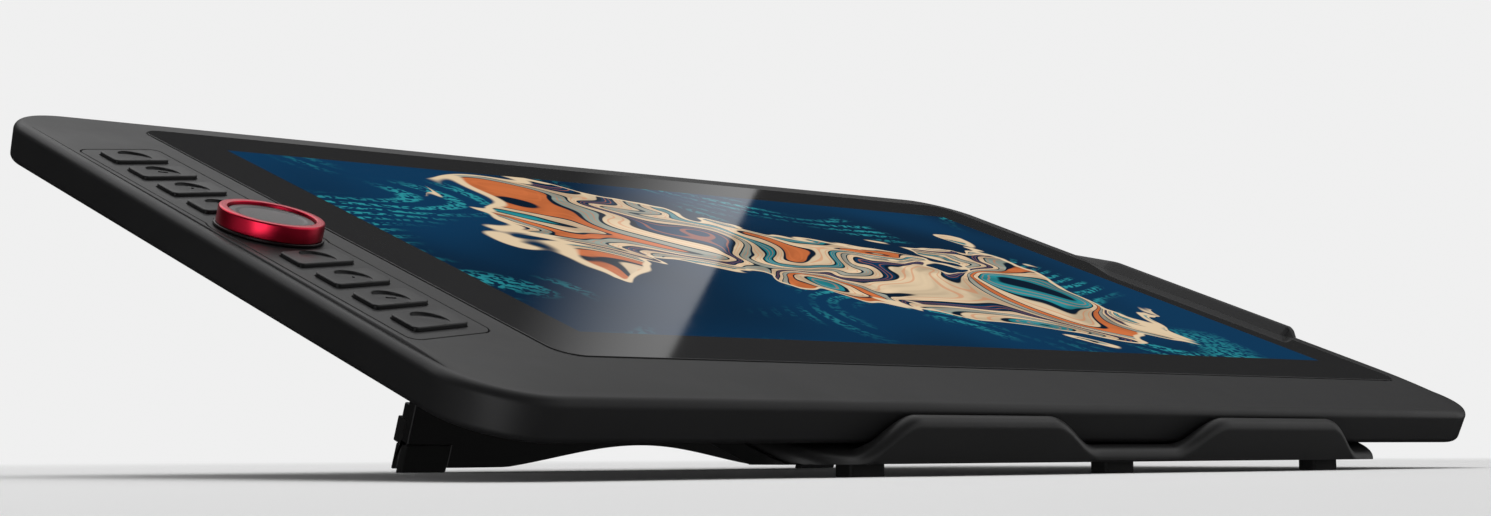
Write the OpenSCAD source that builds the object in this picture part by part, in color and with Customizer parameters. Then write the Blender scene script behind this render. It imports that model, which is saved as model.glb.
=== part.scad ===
// Pen display on its folding desk stand.
// The stand's middle front foot rests at the origin, +X runs to the port side,
// +Y runs away from the user and +Z points up.

/* [Tablet body] */
// Thickness of the tablet
body_t = 12.8; // [12:0.1:16]
// Plan radius of the body's corners
body_corner_r = 24; // [18:1:30]
// Rounding along the top edge
edge_r = 3; // [2:0.5:5]
// Rounding along the underside's edge
under_r = 2.4; // [1:0.1:3]
// How far the side walls run in towards the underside
side_taper = 0.5; // [0.2:0.1:4.5]
// Thickness of the side walls
wall = 2.4; // [1.6:0.1:3]
// Thickness of the case's face
face_t = 2.6; // [2.4:0.1:3]
// Thickness of the rear cover
cover_t = 1.6; // [1.2:0.1:2]
// Distance from the body's edge to the rear cover's edge
cover_inset = 9; // [8:0.5:9.5]
// Width of the ledge that the rear cover sits on
cover_ledge_w = 2.5; // [2:0.1:3]
// Thickness of that ledge
cover_ledge_t = 1.5; // [1:0.1:1.6]

/* [Screen] */
// Width of the lit picture
active_w = 344.2; // [320:0.1:346]
// Depth of the lit picture
active_d = 193.6; // [180:0.1:196]
// Width of the cover glass
glass_w = 386; // [384:0.5:396]
// Depth of the cover glass
glass_d = 236; // [232:0.5:246]
// Corner radius of the cover glass
glass_r = 8; // [4:0.5:12]
// Thickness of the cover glass
glass_t = 1.4; // [1:0.1:1.5]
// How far the glass stands above the case
glass_rise = 0.3; // [0.1:0.05:0.4]
// Thickness of the adhesive under the glass rim
adhesive_t = 0.2; // [0.1:0.05:0.3]
// Width of the ledge under the glass rim
glass_ledge_w = 12; // [11:0.5:13]
// From the key side's edge to the glass
key_margin = 46; // [44:0.5:60]
// From the glass to the port side's edge
port_margin = 11.5; // [11:0.5:30]
// From the front edge to the glass
front_margin = 32; // [28:0.5:50]
// From the glass to the back edge
back_margin = 12.1; // [12:0.1:30]
// Dark border of the panel beside the picture
panel_border = 4; // [3:0.5:4.5]
// Dark border of the panel in front of and behind the picture
panel_border_d = 6; // [5:0.5:7]
// Thickness of the display panel
lcd_t = 1.6; // [1:0.1:1.8]
// Thickness of the backlight
backlight_t = 2.2; // [1.6:0.1:2.4]
// How much shorter than the panel the backlight is at its front and back
backlight_step = 3; // [2:0.5:4]
// Thickness of the pen digitizer sheet
digitizer_t = 0.4; // [0.2:0.1:0.6]
// Thickness of the shield plate
shield_t = 0.6; // [0.4:0.1:0.8]
// Distance from the glass edge to the shield plate's edge
shield_inset = 5; // [4.5:0.5:6]
// Corner radius of the shield plate
shield_r = 4; // [3:0.5:4.5]
// Radius of the bosses that carry the shield plate
shield_boss_r = 2.2; // [1.8:0.1:2.4]

/* [Boards] */
// Thickness of every circuit board
board_t = 1.2; // [0.8:0.1:1.4]
// Height of the standoffs between shield and main board
standoff_h = 0.9; // [0.6:0.1:1.1]
// Radius of those standoffs
standoff_r = 2; // [1.6:0.1:2.6]
// From the main board's edges to its standoffs
standoff_in = 6; // [5.5:0.5:8]
// Width of the main board
main_board_w = 140; // [120:1:150]
// Depth of the main board
main_board_d = 54; // [50:1:60]
// From the port side's edge to the main board
main_board_side = 16; // [15:1:24]
// From the shield plate's back edge to the main board
main_board_in = 4; // [2:0.5:8]
// Width of the chips under the main board
chip_w = 16; // [8:1:18]
// Distance from chip to chip
chip_pitch = 35; // [28:1:38]
// Height of those chips
chip_h = 1.4; // [0.8:0.1:1.5]
// Thickness of the ribbon cables
ribbon_t = 0.3; // [0.2:0.05:0.4]
// Width of the ribbon to the display
display_ribbon_w = 36; // [20:1:40]
// Width of the ribbon to the keys
key_ribbon_w = 14; // [10:1:20]
// Width of the ribbon to the port board
port_ribbon_w = 6; // [4:0.5:8]
// How far a ribbon laps under a board
ribbon_lap = 3; // [2:0.5:3.5]
// Width of the port board
port_board_w = 19; // [18:0.5:22]
// Depth of the port board
port_board_d = 44; // [42:0.5:60]
// From the port board's outer edge to its screws
port_boss_in = 5; // [4.5:0.1:5.5]
// Radius of the small bosses that carry the key and port boards
small_boss_r = 1.6; // [1.4:0.1:1.8]

/* [Sockets] */
// Spacing of the two sockets
socket_pitch = 22; // [18:0.5:24]
// Width of a socket's shell, for a small reversible plug
socket_w = 8.94; // [8.8:0.02:9.1]
// Height of the shell
socket_h = 3.16; // [3.1:0.02:3.3]
// Length of the shell
socket_l = 7.4; // [6.5:0.1:8]
// Thickness of the shell
socket_wall = 0.3; // [0.2:0.05:0.4]
// Width of the tongue in a socket
tongue_w = 6.6; // [6:0.1:7]
// Thickness of the tongue
tongue_t = 0.7; // [0.6:0.05:0.8]
// How far a socket lies behind the body's side
socket_sunk = 0.4; // [0.2:0.1:0.8]

/* [Keys] */
// Number of keys on each side of the dial
keys_a_side = 4; // [4:1:4]
// Width of a key
key_w = 21.4; // [18:0.1:22]
// Depth of a key
key_d = 12; // [10:0.1:12.5]
// Corner radius of a key
key_r = 1.6; // [0.8:0.1:2.5]
// Slant of the keys' front and back edges
key_slant = 18; // [0:1:20]
// Distance from key to key
key_pitch = 18.6; // [18.2:0.1:19.5]
// From the dial's middle to the middle of the first key
key_start = 26.6; // [26:0.1:30]
// From the body's edge to the middle of the key column
key_inset = 21.6; // [21.5:0.1:24]
// Height of the keys above the panel
key_rise = 1.1; // [0.8:0.1:1.6]
// Travel of a key
key_travel = 0.7; // [0.4:0.05:0.9]
// Gap around a key
key_gap = 0.25; // [0.15:0.05:0.4]
// Width of the flange that keeps a key in
key_flange = 1; // [0.6:0.1:1.2]
// Thickness of that flange
key_flange_t = 0.7; // [0.5:0.1:0.8]
// Depth of a key's finger scoop at its far rim
dish_depth = 0.8; // [0.4:0.05:0.95]
// Depth of that scoop at its near rim
dish_near = 0.1; // [0.05:0.05:0.3]
// Radius of that scoop
dish_r = 5.2; // [4:0.1:5.6]
// Length of the raised bar in the second key from each end
bar_l = 3.2; // [2:0.1:5]
// Width of that bar and of the raised dot in the next key
bar_w = 0.8; // [0.5:0.1:1.2]
// Height of the bar and the dot
bar_h = 0.3; // [0.2:0.05:0.4]
// Width of the key panel
panel_w = 32.2; // [31:0.1:34]
// Corner radius of the key panel
panel_r = 4; // [2:0.5:6]
// Thickness of the key panel
panel_t = 1; // [0.8:0.1:1.2]
// From the last key's middle to the end of the panel
panel_end = 11.7; // [10:0.1:14]
// Width of the board under the keys
key_board_w = 26; // [24:0.5:27]
// Width of the switch under a key
switch_w = 6; // [4:0.5:8]
// Gap between a pressed key and its switch
switch_gap = 0.1; // [0.05:0.05:0.3]

/* [Dial] */
// Outer radius of the dial ring
dial_r = 15; // [12:0.25:15.25]
// Wall of the dial ring
dial_wall = 1.8; // [1.2:0.1:2.5]
// Height of the dial above the panel
dial_rise = 5.8; // [4:0.1:7]
// Width of the base flange outside the ring
dial_base_w = 0.6; // [0.2:0.1:0.9]
// Thickness of the base flange
dial_base_t = 0.7; // [0.5:0.1:0.9]
// Depth of the cap below the ring's rim
dial_recess = 0.9; // [0.4:0.1:1.2]
// Width of the panel's bulge around the dial's base
bulge_w = 1.8; // [1.4:0.1:2.1]
// Radius of the dial's shaft
shaft_r = 3; // [2:0.1:3.5]
// Width of the encoder
encoder_w = 13; // [10:0.5:14]

/* [Power button] */
// From the port side's edge to the power button
power_inset = 72; // [66:1:90]
// Width of the power button
power_w = 10; // [8:0.5:12]
// Height of the power button
power_h = 3; // [2.4:0.1:3.4]
// How far the power button stands out of the wall
power_rise = 0.6; // [0.3:0.1:1]
// Travel of the power button
power_travel = 0.5; // [0.3:0.05:0.6]
// Thickness of the button's flange
power_flange_t = 0.8; // [0.6:0.1:1]
// Length of the button's stem
power_stem_l = 4.2; // [3.5:0.1:4.6]
// Radius of the stem
power_stem_r = 1; // [0.7:0.1:1.2]
// Depth of the switch behind the button
power_switch_d = 3; // [2:0.1:3.4]

/* [Port ridge] */
// Length of the raised ridge on the port side
ridge_l = 112; // [80:1:150]
// Height of the ridge
ridge_h = 3.4; // [2:0.1:4]
// Width of the ridge's foot
ridge_w = 6.4; // [5:0.1:7]
// Width of the ridge's top
ridge_top_w = 2.4; // [1.6:0.1:3]
// Length of the ramp at the ridge's back end
ridge_ramp = 22; // [10:1:30]
// Length of the slope at the ridge's front end
ridge_nose = 3; // [1:0.5:8]
// Width of the bevel along the ridge's top
ridge_bevel = 0.8; // [0.4:0.1:1.2]

/* [Stand] */
// Tilt of the deck
tilt = 20; // [18:0.5:23]
// Width of the deck
deck_w = 274; // [266:1:300]
// Length of the deck from the lip to its rear edge
deck_l = 238; // [232:1:260]
// Corner radius of the deck
deck_r = 16; // [10:1:17]
// Thickness of the deck
deck_t = 9.5; // [9:0.1:11]
// Depth of the seam between the deck's shells, below its top face
seam_drop = 3.6; // [3.2:0.1:3.8]
// Height of the groove along the seam
groove_h = 1; // [0.6:0.1:1.2]
// Depth of that groove
groove_w = 1.2; // [0.8:0.1:1.6]
// Rounding of the deck's rim
rim_r = 3; // [1.5:0.5:3]
// Thickness of the deck's plate
plate_t = 2.4; // [1.8:0.1:2.8]
// Thickness of the deck's walls
deck_wall = 2.4; // [1.8:0.1:3]
// Thickness of the deck's floor
deck_floor = 1.8; // [1.5:0.1:2]
// Depth of the nose along the deck's rear edge
nose_h = 6.5; // [5:0.1:8]
// Thickness of that nose
nose_t = 4; // [3:0.1:5]
// Height of the deck's top face at its front edge
front_h = 4.9; // [4.5:0.1:6]
// Thickness of the front lip
lip_t = 6; // [4:0.5:8]
// Height of the lip's two humps above the deck
lip_h = 11; // [8:0.5:12]
// Height of the lip between the humps
dip_h = 2; // [1:0.5:4]
// Half width of the dip
dip_half = 18; // [10:1:24]
// Length of the slope from the dip to a hump's top
dip_ramp = 24; // [16:1:30]
// Length of the slope at a hump's outer end
hump_ramp = 22; // [14:1:30]
// From the lip's end to the deck's rounded corner
lip_end = 2; // [1:0.5:5]
// Gap between the tablet's front edge and the lip
lip_gap = 0.3; // [0.2:0.05:0.6]
// Thickness of the rubber pads on the deck
pad_t = 1.2; // [0.8:0.1:2]
// Width of those pads
pad_w = 19; // [12:0.5:20]
// Corner radius of those pads
pad_r = 2; // [1:0.5:4]
// Length of the front pads
pad_l = 42.5; // [30:0.5:60]
// From the deck's front edge to the front pads
pad_front = 44.5; // [40:0.5:60]
// Length of the rear pads
pad_rear_l = 24; // [16:0.5:30]
// From the rear pads to the hinge axis
pad_rear = 10; // [8:0.5:14]

/* [Feet] */
// Height of the stand's front feet
foot_h = 3.4; // [2.8:0.1:3.8]
// Width of a front foot
foot_w = 13.5; // [10:0.5:16]
// Depth of a front foot
foot_d = 6.5; // [5:0.5:8]
// Corner radius of a front foot
foot_r = 1.2; // [0.6:0.1:2]
// From the deck's front edge to the middle of the front feet
foot_back = 10.5; // [9:0.5:11.5]
// Spacing of the front feet
foot_pitch = 108; // [90:1:112]
// Radius of the rubber feet under the tablet
pad_foot_r = 8; // [5:0.5:9]
// Thickness of those feet
pad_foot_t = 1.5; // [1:0.1:2]
// From the body's edge to the middle of those feet
pad_foot_inset = 26; // [24:0.5:30]

/* [Leg] */
// Width of the folding leg
leg_w = 208; // [196:1:210]
// Thickness of the leg
leg_t = 6.6; // [6:0.1:7]
// Width of the leg's arms
arm_w = 31; // [28:0.5:40]
// Height of the leg's lower panel
leg_panel_h = 42; // [38:0.5:43]
// Corner radius of the leg's window
window_r = 10; // [4:1:14]
// Height of the arch under the leg
arch_h = 9.2; // [4:0.1:12]
// Half width of that arch
arch_half = 78; // [50:1:80]
// From the deck's rear edge to the hinge axis
hinge_back = 19; // [18:0.5:24]
// Depth of the hinge axis below the deck's top face
hinge_drop = 6.2; // [6:0.1:6.6]
// Width of the blocks that hold the hinge pins
hinge_block = 13; // [10:0.5:14]
// Radius of the hinge pins
pin_r = 2; // [1.5:0.1:2.2]
// Length of a hinge pin inside the leg
pin_in_leg = 9; // [6:0.5:20]
// Length of a hinge pin inside the deck
pin_in_deck = 14; // [8:0.5:16]
// Gap between the leg and the deck around it
leg_gap = 1; // [0.6:0.1:1.5]
// Gap at the open leg's stop
stop_gap = 0.3; // [0.2:0.05:0.5]
// Corner radius of the deck's cutout for the leg
cut_r = 8; // [4:0.5:12]
// Height of the leg's lower edge above the desk
leg_clear = 1.4; // [1:0.1:2]
// Width of the leg's rubber feet
leg_foot_w = 18.5; // [12:0.5:24]
// Height of the leg's rubber feet
leg_foot_l = 11; // [8:0.5:14]
// Width of the rubber bumpers on the leg's back
bumper_w = 14; // [8:0.5:20]
// Depth to which the bumpers are set in
bumper_in = 3; // [2:0.1:3.2]
// How far the bumpers stand out
bumper_out = 2; // [1:0.1:2.5]
// Length of the lower bumpers
bumper_low_l = 9; // [6:0.5:11]
// Length of the upper bumpers
bumper_high_l = 11; // [6:0.5:12]
// From the leg's lower end to the lower bumpers
bumper_low = 10; // [8:0.5:12]
// From the leg's lower end to the upper bumpers
bumper_high = 44; // [42:0.5:45]
// From the leg's lower end to the lower groove
leg_groove_low = 24.5; // [22:0.5:26]
// From the lower to the upper groove
leg_groove_step = 10; // [6:0.5:12]
// Height of those grooves
leg_groove_h = 2; // [1:0.1:3]
// Depth of those grooves
leg_groove_in = 2.4; // [1:0.1:3]

/* [Fits and screws] */
// Gap around the cover glass and the inlaid pieces
inlay_gap = 0.2; // [0.1:0.05:0.3]
// Radial clearance of a turning shaft or pin
run_gap = 0.05; // [0.02:0.01:0.1]
// Radial clearance of a pin or screw that stays put
snug_gap = 0.03; // [0.02:0.01:0.08]
// Clearance of plain openings
free_gap = 0.3; // [0.2:0.05:0.5]
// Clearance beside bosses
boss_gap = 0.6; // [0.3:0.1:0.8]
// Radius of a screw's thread
screw_r = 1; // [0.8:0.05:1.1]
// Radius of a screw's head
head_r = 1.9; // [1.6:0.1:2]
// Height of a screw's head
head_h = 0.9; // [0.7:0.1:1]
// Thread length of the case and stand screws
thread_l = 4; // [3:0.5:4.5]
// Thread length in the small bosses
short_thread_l = 2; // [1.5:0.1:2.2]
// Radius of the screw bosses of the case and the deck
boss_r = 2.6; // [2.3:0.1:2.8]
// From the rear cover's edge to the middle of its screws
boss_edge = 3; // [2.8:0.1:3.3]
// From the body's middle to the screws at the port side
side_boss_y = 60; // [40:1:64]
// From the stand's middle to its inner screws
deck_boss_x = 55; // [40:1:70]
// From the deck's front edge to the first row of screws
deck_boss_front = 40; // [34:1:50]
// From the deck's cutout to the second row of screws
deck_boss_cut = 34; // [20:1:40]
// From the hinge axis to the rearmost screws
deck_boss_rear = 34; // [24:1:40]

/* [Hidden] */
key_count = 2 * keys_a_side;
KEY_NAMES = [for (i = [1:key_count]) str("key_", i)];

// Steps of round stretches, a thin layer for shaping, and cuts that run past a face
corner_steps = 8;
edge_steps = 5;
arch_steps = 12;
lip_steps = 60;
skin = 0.01;
past = 1;
far = 600;

// Body in plan: the tablet's own origin is the middle of its underside
body_w = key_margin + glass_w + port_margin;
body_d = front_margin + glass_d + back_margin;
screen_x = (key_margin - port_margin) / 2;
screen_y = (front_margin - back_margin) / 2;
key_x = key_inset - body_w / 2;
wall_in = side_taper + wall;
cover_hole = cover_inset + cover_ledge_w;
widest_z = body_t - edge_r;

// Levels in the tablet, from the top down
face_z = body_t - face_t;
panel_z = body_t - panel_t;
glass_z = body_t + glass_rise - glass_t;
adhesive_z = glass_z - adhesive_t;
lcd_z = glass_z - lcd_t;
backlight_z = lcd_z - backlight_t;
digitizer_z = backlight_z - digitizer_t;
shield_z = digitizer_z - shield_t;
board_top = shield_z - standoff_h;
board_z = board_top - board_t;
ribbon_z = board_z - ribbon_t;
ledge_z = cover_t + cover_ledge_t;

// Screen stack in plan
lcd_w = active_w + 2 * panel_border;
lcd_d = active_d + 2 * panel_border_d;
backlight_d = lcd_d - 2 * backlight_step;
opening_w = glass_w - 2 * glass_ledge_w;
opening_d = glass_d - 2 * glass_ledge_w;
shield_w = glass_w - 2 * shield_inset;
shield_d = glass_d - 2 * shield_inset;
shield_boss_in = shield_inset + shield_boss_r + boss_gap;
digitizer_in = shield_boss_in + shield_boss_r + boss_gap;
digitizer_w = glass_w - 2 * digitizer_in;
digitizer_d = glass_d - 2 * digitizer_in;
SHIELD_BOSSES = [for (x = [-1:1], y = [-1, 1])
    [screen_x + x * (glass_w / 2 - shield_boss_in), screen_y + y * (glass_d / 2 - shield_boss_in)]];

// Case screws: one in each corner, two more along the front and the back, two at the port side
boss_inset = cover_inset + boss_edge;
boss_corner = body_corner_r - (body_corner_r - boss_inset) / sqrt(2);
CASE_SCREWS = concat(
    [for (x = [-1, 1], y = [-1, 1]) [x * (body_w / 2 - boss_corner), y * (body_d / 2 - boss_corner)]],
    [for (x = [-1, 1], y = [-1, 1]) [x * body_w / 6, y * (body_d / 2 - boss_inset)]],
    [for (y = [-1, 1]) [body_w / 2 - boss_inset, y * side_boss_y]]
);

// Boards in plan
main_board_x = body_w / 2 - main_board_side - main_board_w / 2;
main_board_back = screen_y + shield_d / 2 - main_board_in;
main_board_y = main_board_back - main_board_d / 2;
STANDOFFS = [for (x = [-1, 1], y = [-1, 1])
    [main_board_x + x * (main_board_w / 2 - standoff_in),
     main_board_y + y * (main_board_d / 2 - standoff_in)]];
port_board_x = body_w / 2 - wall_in - free_gap - port_board_w / 2;
port_boss_x = port_board_x + port_board_w / 2 - port_boss_in;
PORT_BOSSES = [for (y = [-1, 1]) [port_boss_x, y * (port_board_d / 2 - small_boss_r)]];
socket_z = board_top + socket_h / 2;
socket_face = body_w / 2 - side_taper * (1 - socket_z / widest_z) - socket_sunk;

// Keys, seen from the dial's middle: the first half lies behind it, the rest in front
function key_step(i) = i <= keys_a_side ? keys_a_side - i : i - keys_a_side - 1;
function key_y(i) = (i <= keys_a_side ? 1 : -1) * (key_start + key_pitch * key_step(i));
panel_d = 2 * (key_y(1) + panel_end);
key_flange_z = face_z - free_gap - key_flange_t;
switch_z = key_flange_z - key_travel - switch_gap;
dish_mid = (dish_depth + dish_near) / 2;
dish_tilt = atan((dish_depth - dish_near) / (2 * dish_r));
KEY_BOSSES = [for (i = [1:2:key_count]) [key_x, (key_y(i) + key_y(i + 1)) / 2]];

// Dial
dial_base_r = dial_r + dial_base_w;
bulge_r = dial_base_r + bulge_w;
dial_z = body_t + free_gap;
ring_z = dial_z + dial_base_t;
cap_z = body_t + dial_rise - dial_recess;
encoder_top = face_z - free_gap;

// Power button on the back wall
power_x = body_w / 2 - power_inset;
power_z = board_top + power_h / 3;
power_wall = body_d / 2 - side_taper * (1 - power_z / widest_z);
power_flange_y = body_d / 2 - wall_in - free_gap;
power_stem_y = power_flange_y - power_flange_t - power_stem_l;
power_switch_y = power_stem_y - power_travel - switch_gap;

// Stand: the deck's own origin is the middle of its front edge, its third axis the deck's normal
hinge_s = deck_l - hinge_back;
hinge_z = front_h + hinge_s * sin(tilt) - hinge_drop * cos(tilt);
leg_reach = hinge_z / cos(tilt);
leg_end = leg_reach + leg_t / 2 * tan(tilt);
leg_sweep = norm([leg_end, leg_t / 2]);
cut_w = leg_w + 2 * leg_gap;
cut_front = hinge_s - leg_sweep - leg_gap - cut_r / 2;
cut_rear = hinge_s + leg_t / 2 + stop_gap;
window_w = leg_w - 2 * arm_w;
window_z = leg_panel_h - leg_reach;
arch_z = leg_clear / cos(tilt) - leg_reach;
side_x = (cut_w + deck_w) / 4;
lip_half = deck_w / 2 - deck_r - lip_end;
hump_in = dip_half + dip_ramp;
hump_out = lip_half - hump_ramp;
tray_l = deck_l - nose_t - free_gap;
tray_wall = deck_wall + groove_w;
STAND_SCREWS = concat(
    [for (x = [-1, 1], s = [pad_front + pad_l / 2, hinge_s - deck_boss_rear]) [x * side_x, s]],
    [for (x = [-1, 1], s = [deck_boss_front, cut_front - deck_boss_cut]) [x * deck_boss_x, s]]
);

// The tablet on its stand: the picture's middle stands over the stand's middle
tablet_x = -screen_x;
tablet_s = lip_t + lip_gap + body_d / 2;

// Outlines

function corner_arc(x, y, r, start) =
    [for (i = [0:corner_steps])
        [x + r * cos(start + 90 * i / corner_steps), y + r * sin(start + 90 * i / corner_steps)]];

function rounded_outline(w, d, r) = concat(
    corner_arc(w / 2 - r, d / 2 - r, r, 0),
    corner_arc(r - w / 2, d / 2 - r, r, 90),
    corner_arc(r - w / 2, r - d / 2, r, 180),
    corner_arc(w / 2 - r, r - d / 2, r, 270)
);

function slanted(points) = [for (p = points) [p[0], p[1] + p[0] * tan(key_slant)]];

// A smooth step from 0 at a to 1 at b
function ease(x, a, b) = (1 - cos(180 * min(1, max(0, (x - a) / (b - a))))) / 2;

// Height of the arch under the leg, which the deck's cutout follows
function arch(x) = arch_h * (1 - ease(abs(x), 0, arch_half));
function arch_line(base) =
    [for (i = [-arch_steps:arch_steps]) let (x = arch_half * i / arch_steps) [x, base + arch(x)]];

// Height of the lip above the deck: low in the middle, two humps, level with the deck at its ends
function lip_top(x) = dip_h + (lip_h - dip_h) * ease(abs(x), dip_half, hump_in)
    - lip_h * ease(abs(x), hump_out, lip_half);

// Outline of the deck's cutout, grown by a margin on every side
function cutout_outline(grow) = concat(
    [[cut_w / 2 + grow, cut_rear + grow], [-cut_w / 2 - grow, cut_rear + grow]],
    corner_arc(cut_r - cut_w / 2, cut_front + cut_r, cut_r + grow, 180),
    arch_line(cut_front - grow),
    corner_arc(cut_w / 2 - cut_r, cut_front + cut_r, cut_r + grow, 270)
);

// Plain shapes

module slab(w, d, r, h) {
    linear_extrude(h) polygon(rounded_outline(w, d, r));
}

// A slab with both edges rounded whose walls run in towards the underside
module soft_slab(w, d, r, h, top_r, low_r, taper) {
    hull() for (i = [0:edge_steps]) {
        turn = 90 * i / edge_steps;
        top_in = top_r * (1 - cos(turn));
        low_in = taper + low_r * (1 - cos(turn));
        translate([0, 0, h - skin - (top_r - skin) * (1 - sin(turn))])
            slab(w - 2 * top_in, d - 2 * top_in, r - top_in, skin);
        translate([0, 0, low_r * (1 - sin(turn))])
            slab(w - 2 * low_in, d - 2 * low_in, r - low_in, skin);
    }
}

module at(points) {
    for (p = points) translate([p[0], p[1], 0]) children();
}

module both_sides() {
    for (side = [0, 1]) mirror([side, 0, 0]) children();
}

module rod(r, z0, z1) {
    translate([0, 0, z0]) cylinder(r = r, h = z1 - z0, $fn = 48);
}

module box(x0, x1, y0, y1, z0, z1) {
    translate([x0, y0, z0]) cube([x1 - x0, y1 - y0, z1 - z0]);
}

// A box on its middle, from one level to another
module block(w, d, z0, z1) {
    box(-w / 2, w / 2, -d / 2, d / 2, z0, z1);
}

// A screw whose head starts at head_z and whose thread points up
module screw(head_z, length) {
    rod(head_r, head_z, head_z + head_h);
    rod(screw_r, head_z + head_h - skin, head_z + head_h + length);
}

module above(level) {
    translate([-far, -far, level]) cube([2 * far, 2 * far, far]);
}

// Frames of the deck, the tablet, its screen, its key column and the leg

module on_deck() {
    translate([0, -foot_back, front_h]) rotate([tilt, 0, 0]) children();
}

module on_tablet() {
    on_deck() translate([tablet_x, tablet_s, pad_t]) children();
}

module on_screen() {
    on_tablet() translate([screen_x, screen_y, 0]) children();
}

module on_keys() {
    on_tablet() translate([key_x, 0, 0]) children();
}

module on_leg() {
    on_deck() translate([0, hinge_s, -hinge_drop]) children();
}

// Forms that a piece and its opening share

module key_outline(grow) {
    polygon(slanted(rounded_outline(key_w + 2 * grow, key_d + 2 * grow, key_r + grow)));
}

module panel_outline(grow) {
    polygon(slanted(rounded_outline(panel_w + 2 * grow, panel_d + 2 * grow, panel_r + grow)));
    circle(r = bulge_r + grow, $fn = 96);
}

module at_keys() {
    for (i = [1:key_count]) translate([0, key_y(i), 0]) children();
}

// A socket's outline carried along X
module socket_form(grow, length) {
    r = socket_h / 2 + grow;
    rotate([90, 0, 90]) linear_extrude(length) union() {
        square([socket_w - socket_h, 2 * r], center = true);
        for (x = [-1, 1]) translate([x * (socket_w - socket_h) / 2, 0]) circle(r = r, $fn = 48);
    }
}

module at_sockets() {
    for (y = [-1, 1]) translate([socket_face - socket_l, y * socket_pitch / 2, socket_z]) children();
}

// The power button's outline carried along Y
module power_form(grow, y0, y1) {
    translate([0, y1, 0]) rotate([90, 0, 0]) linear_extrude(y1 - y0)
        polygon(rounded_outline(power_w + 2 * grow, power_h + 2 * grow, power_h / 2 + grow - skin));
}

module cutout(grow) {
    translate([0, 0, -far]) linear_extrude(2 * far) polygon(cutout_outline(grow));
}

// Bores for both hinge pins, which end a depth beyond the leg's sides
module hinge_bores(r, depth) {
    for (x = [-1, 1]) translate([x * (leg_w / 2 - pin_in_leg - free_gap), 0, 0])
        rotate([0, x * 90, 0]) rod(r, 0, pin_in_leg + free_gap + leg_gap + depth);
}

// Tablet

// The case is one moulding with a face, side walls, a ledge for the rear cover, and bosses
module top_case() {
    color("#2b2b2d") on_tablet() difference() {
        union() {
            difference() {
                soft_slab(body_w, body_d, body_corner_r, body_t, edge_r, under_r, side_taper);
                translate([0, 0, ledge_z])
                    slab(body_w - 2 * wall_in, body_d - 2 * wall_in, body_corner_r - wall_in,
                         face_z - ledge_z);
                translate([0, 0, -past])
                    slab(body_w - 2 * cover_hole, body_d - 2 * cover_hole, body_corner_r - cover_hole,
                         ledge_z + 2 * past);
                translate([0, 0, -past])
                    slab(body_w - 2 * (cover_inset - inlay_gap), body_d - 2 * (cover_inset - inlay_gap),
                         body_corner_r - cover_inset + inlay_gap, cover_t + past);
            }
            at(CASE_SCREWS) rod(boss_r, cover_t, face_z + skin);
            at(SHIELD_BOSSES) rod(shield_boss_r, digitizer_z, face_z + skin);
            at(concat(PORT_BOSSES, KEY_BOSSES)) rod(small_boss_r, board_top, face_z + skin);
        }
        translate([screen_x, screen_y, adhesive_z])
            slab(glass_w + 2 * inlay_gap, glass_d + 2 * inlay_gap, glass_r + inlay_gap, far);
        translate([screen_x, screen_y, face_z - past]) slab(opening_w, opening_d, glass_r, far);
        translate([key_x, 0, panel_z]) linear_extrude(far) panel_outline(inlay_gap);
        translate([key_x, 0, face_z - past]) at_keys() linear_extrude(far) key_outline(2 * key_gap);
        translate([key_x, 0, 0]) rod(shaft_r + free_gap, face_z - past, far);
        at(CASE_SCREWS) rod(screw_r + snug_gap, 0, cover_t + thread_l + free_gap);
        at(SHIELD_BOSSES) rod(screw_r + snug_gap, 0, digitizer_z + short_thread_l + free_gap);
        at(concat(PORT_BOSSES, KEY_BOSSES))
            rod(screw_r + snug_gap, 0, board_top + short_thread_l + free_gap);
        at_sockets() socket_form(free_gap, far);
        translate([power_x, 0, power_z]) power_form(key_gap, power_flange_y, far);
    }
}

module rear_cover() {
    color("#232325") on_tablet() difference() {
        slab(body_w - 2 * cover_inset, body_d - 2 * cover_inset, body_corner_r - cover_inset, cover_t);
        at(CASE_SCREWS) rod(screw_r + snug_gap, -past, cover_t + past);
        at(CASE_SCREWS) rod(head_r + inlay_gap, -past, head_h);
    }
}

module cover_glass() {
    color("#303236") on_screen() translate([0, 0, glass_z]) slab(glass_w, glass_d, glass_r, glass_t);
}

module glass_adhesive() {
    color("#101010") on_screen() translate([0, 0, adhesive_z]) difference() {
        slab(glass_w, glass_d, glass_r, adhesive_t);
        translate([0, 0, -past]) slab(opening_w, opening_d, glass_r, adhesive_t + 2 * past);
    }
}

module lcd_panel() {
    color("#0b3d74") on_screen() block(lcd_w, lcd_d, lcd_z, glass_z);
}

module backlight() {
    color("#e4e6e8") on_screen() block(lcd_w, backlight_d, backlight_z, lcd_z);
}

module digitizer_sheet() {
    color("#6b4a26") on_screen() block(digitizer_w, digitizer_d, digitizer_z, backlight_z);
}

module shield_plate() {
    color("#b5b8bb") on_tablet() difference() {
        translate([screen_x, screen_y, shield_z]) slab(shield_w, shield_d, shield_r, shield_t);
        at(SHIELD_BOSSES) rod(screw_r + snug_gap, shield_z - past, digitizer_z + past);
    }
}

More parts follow.
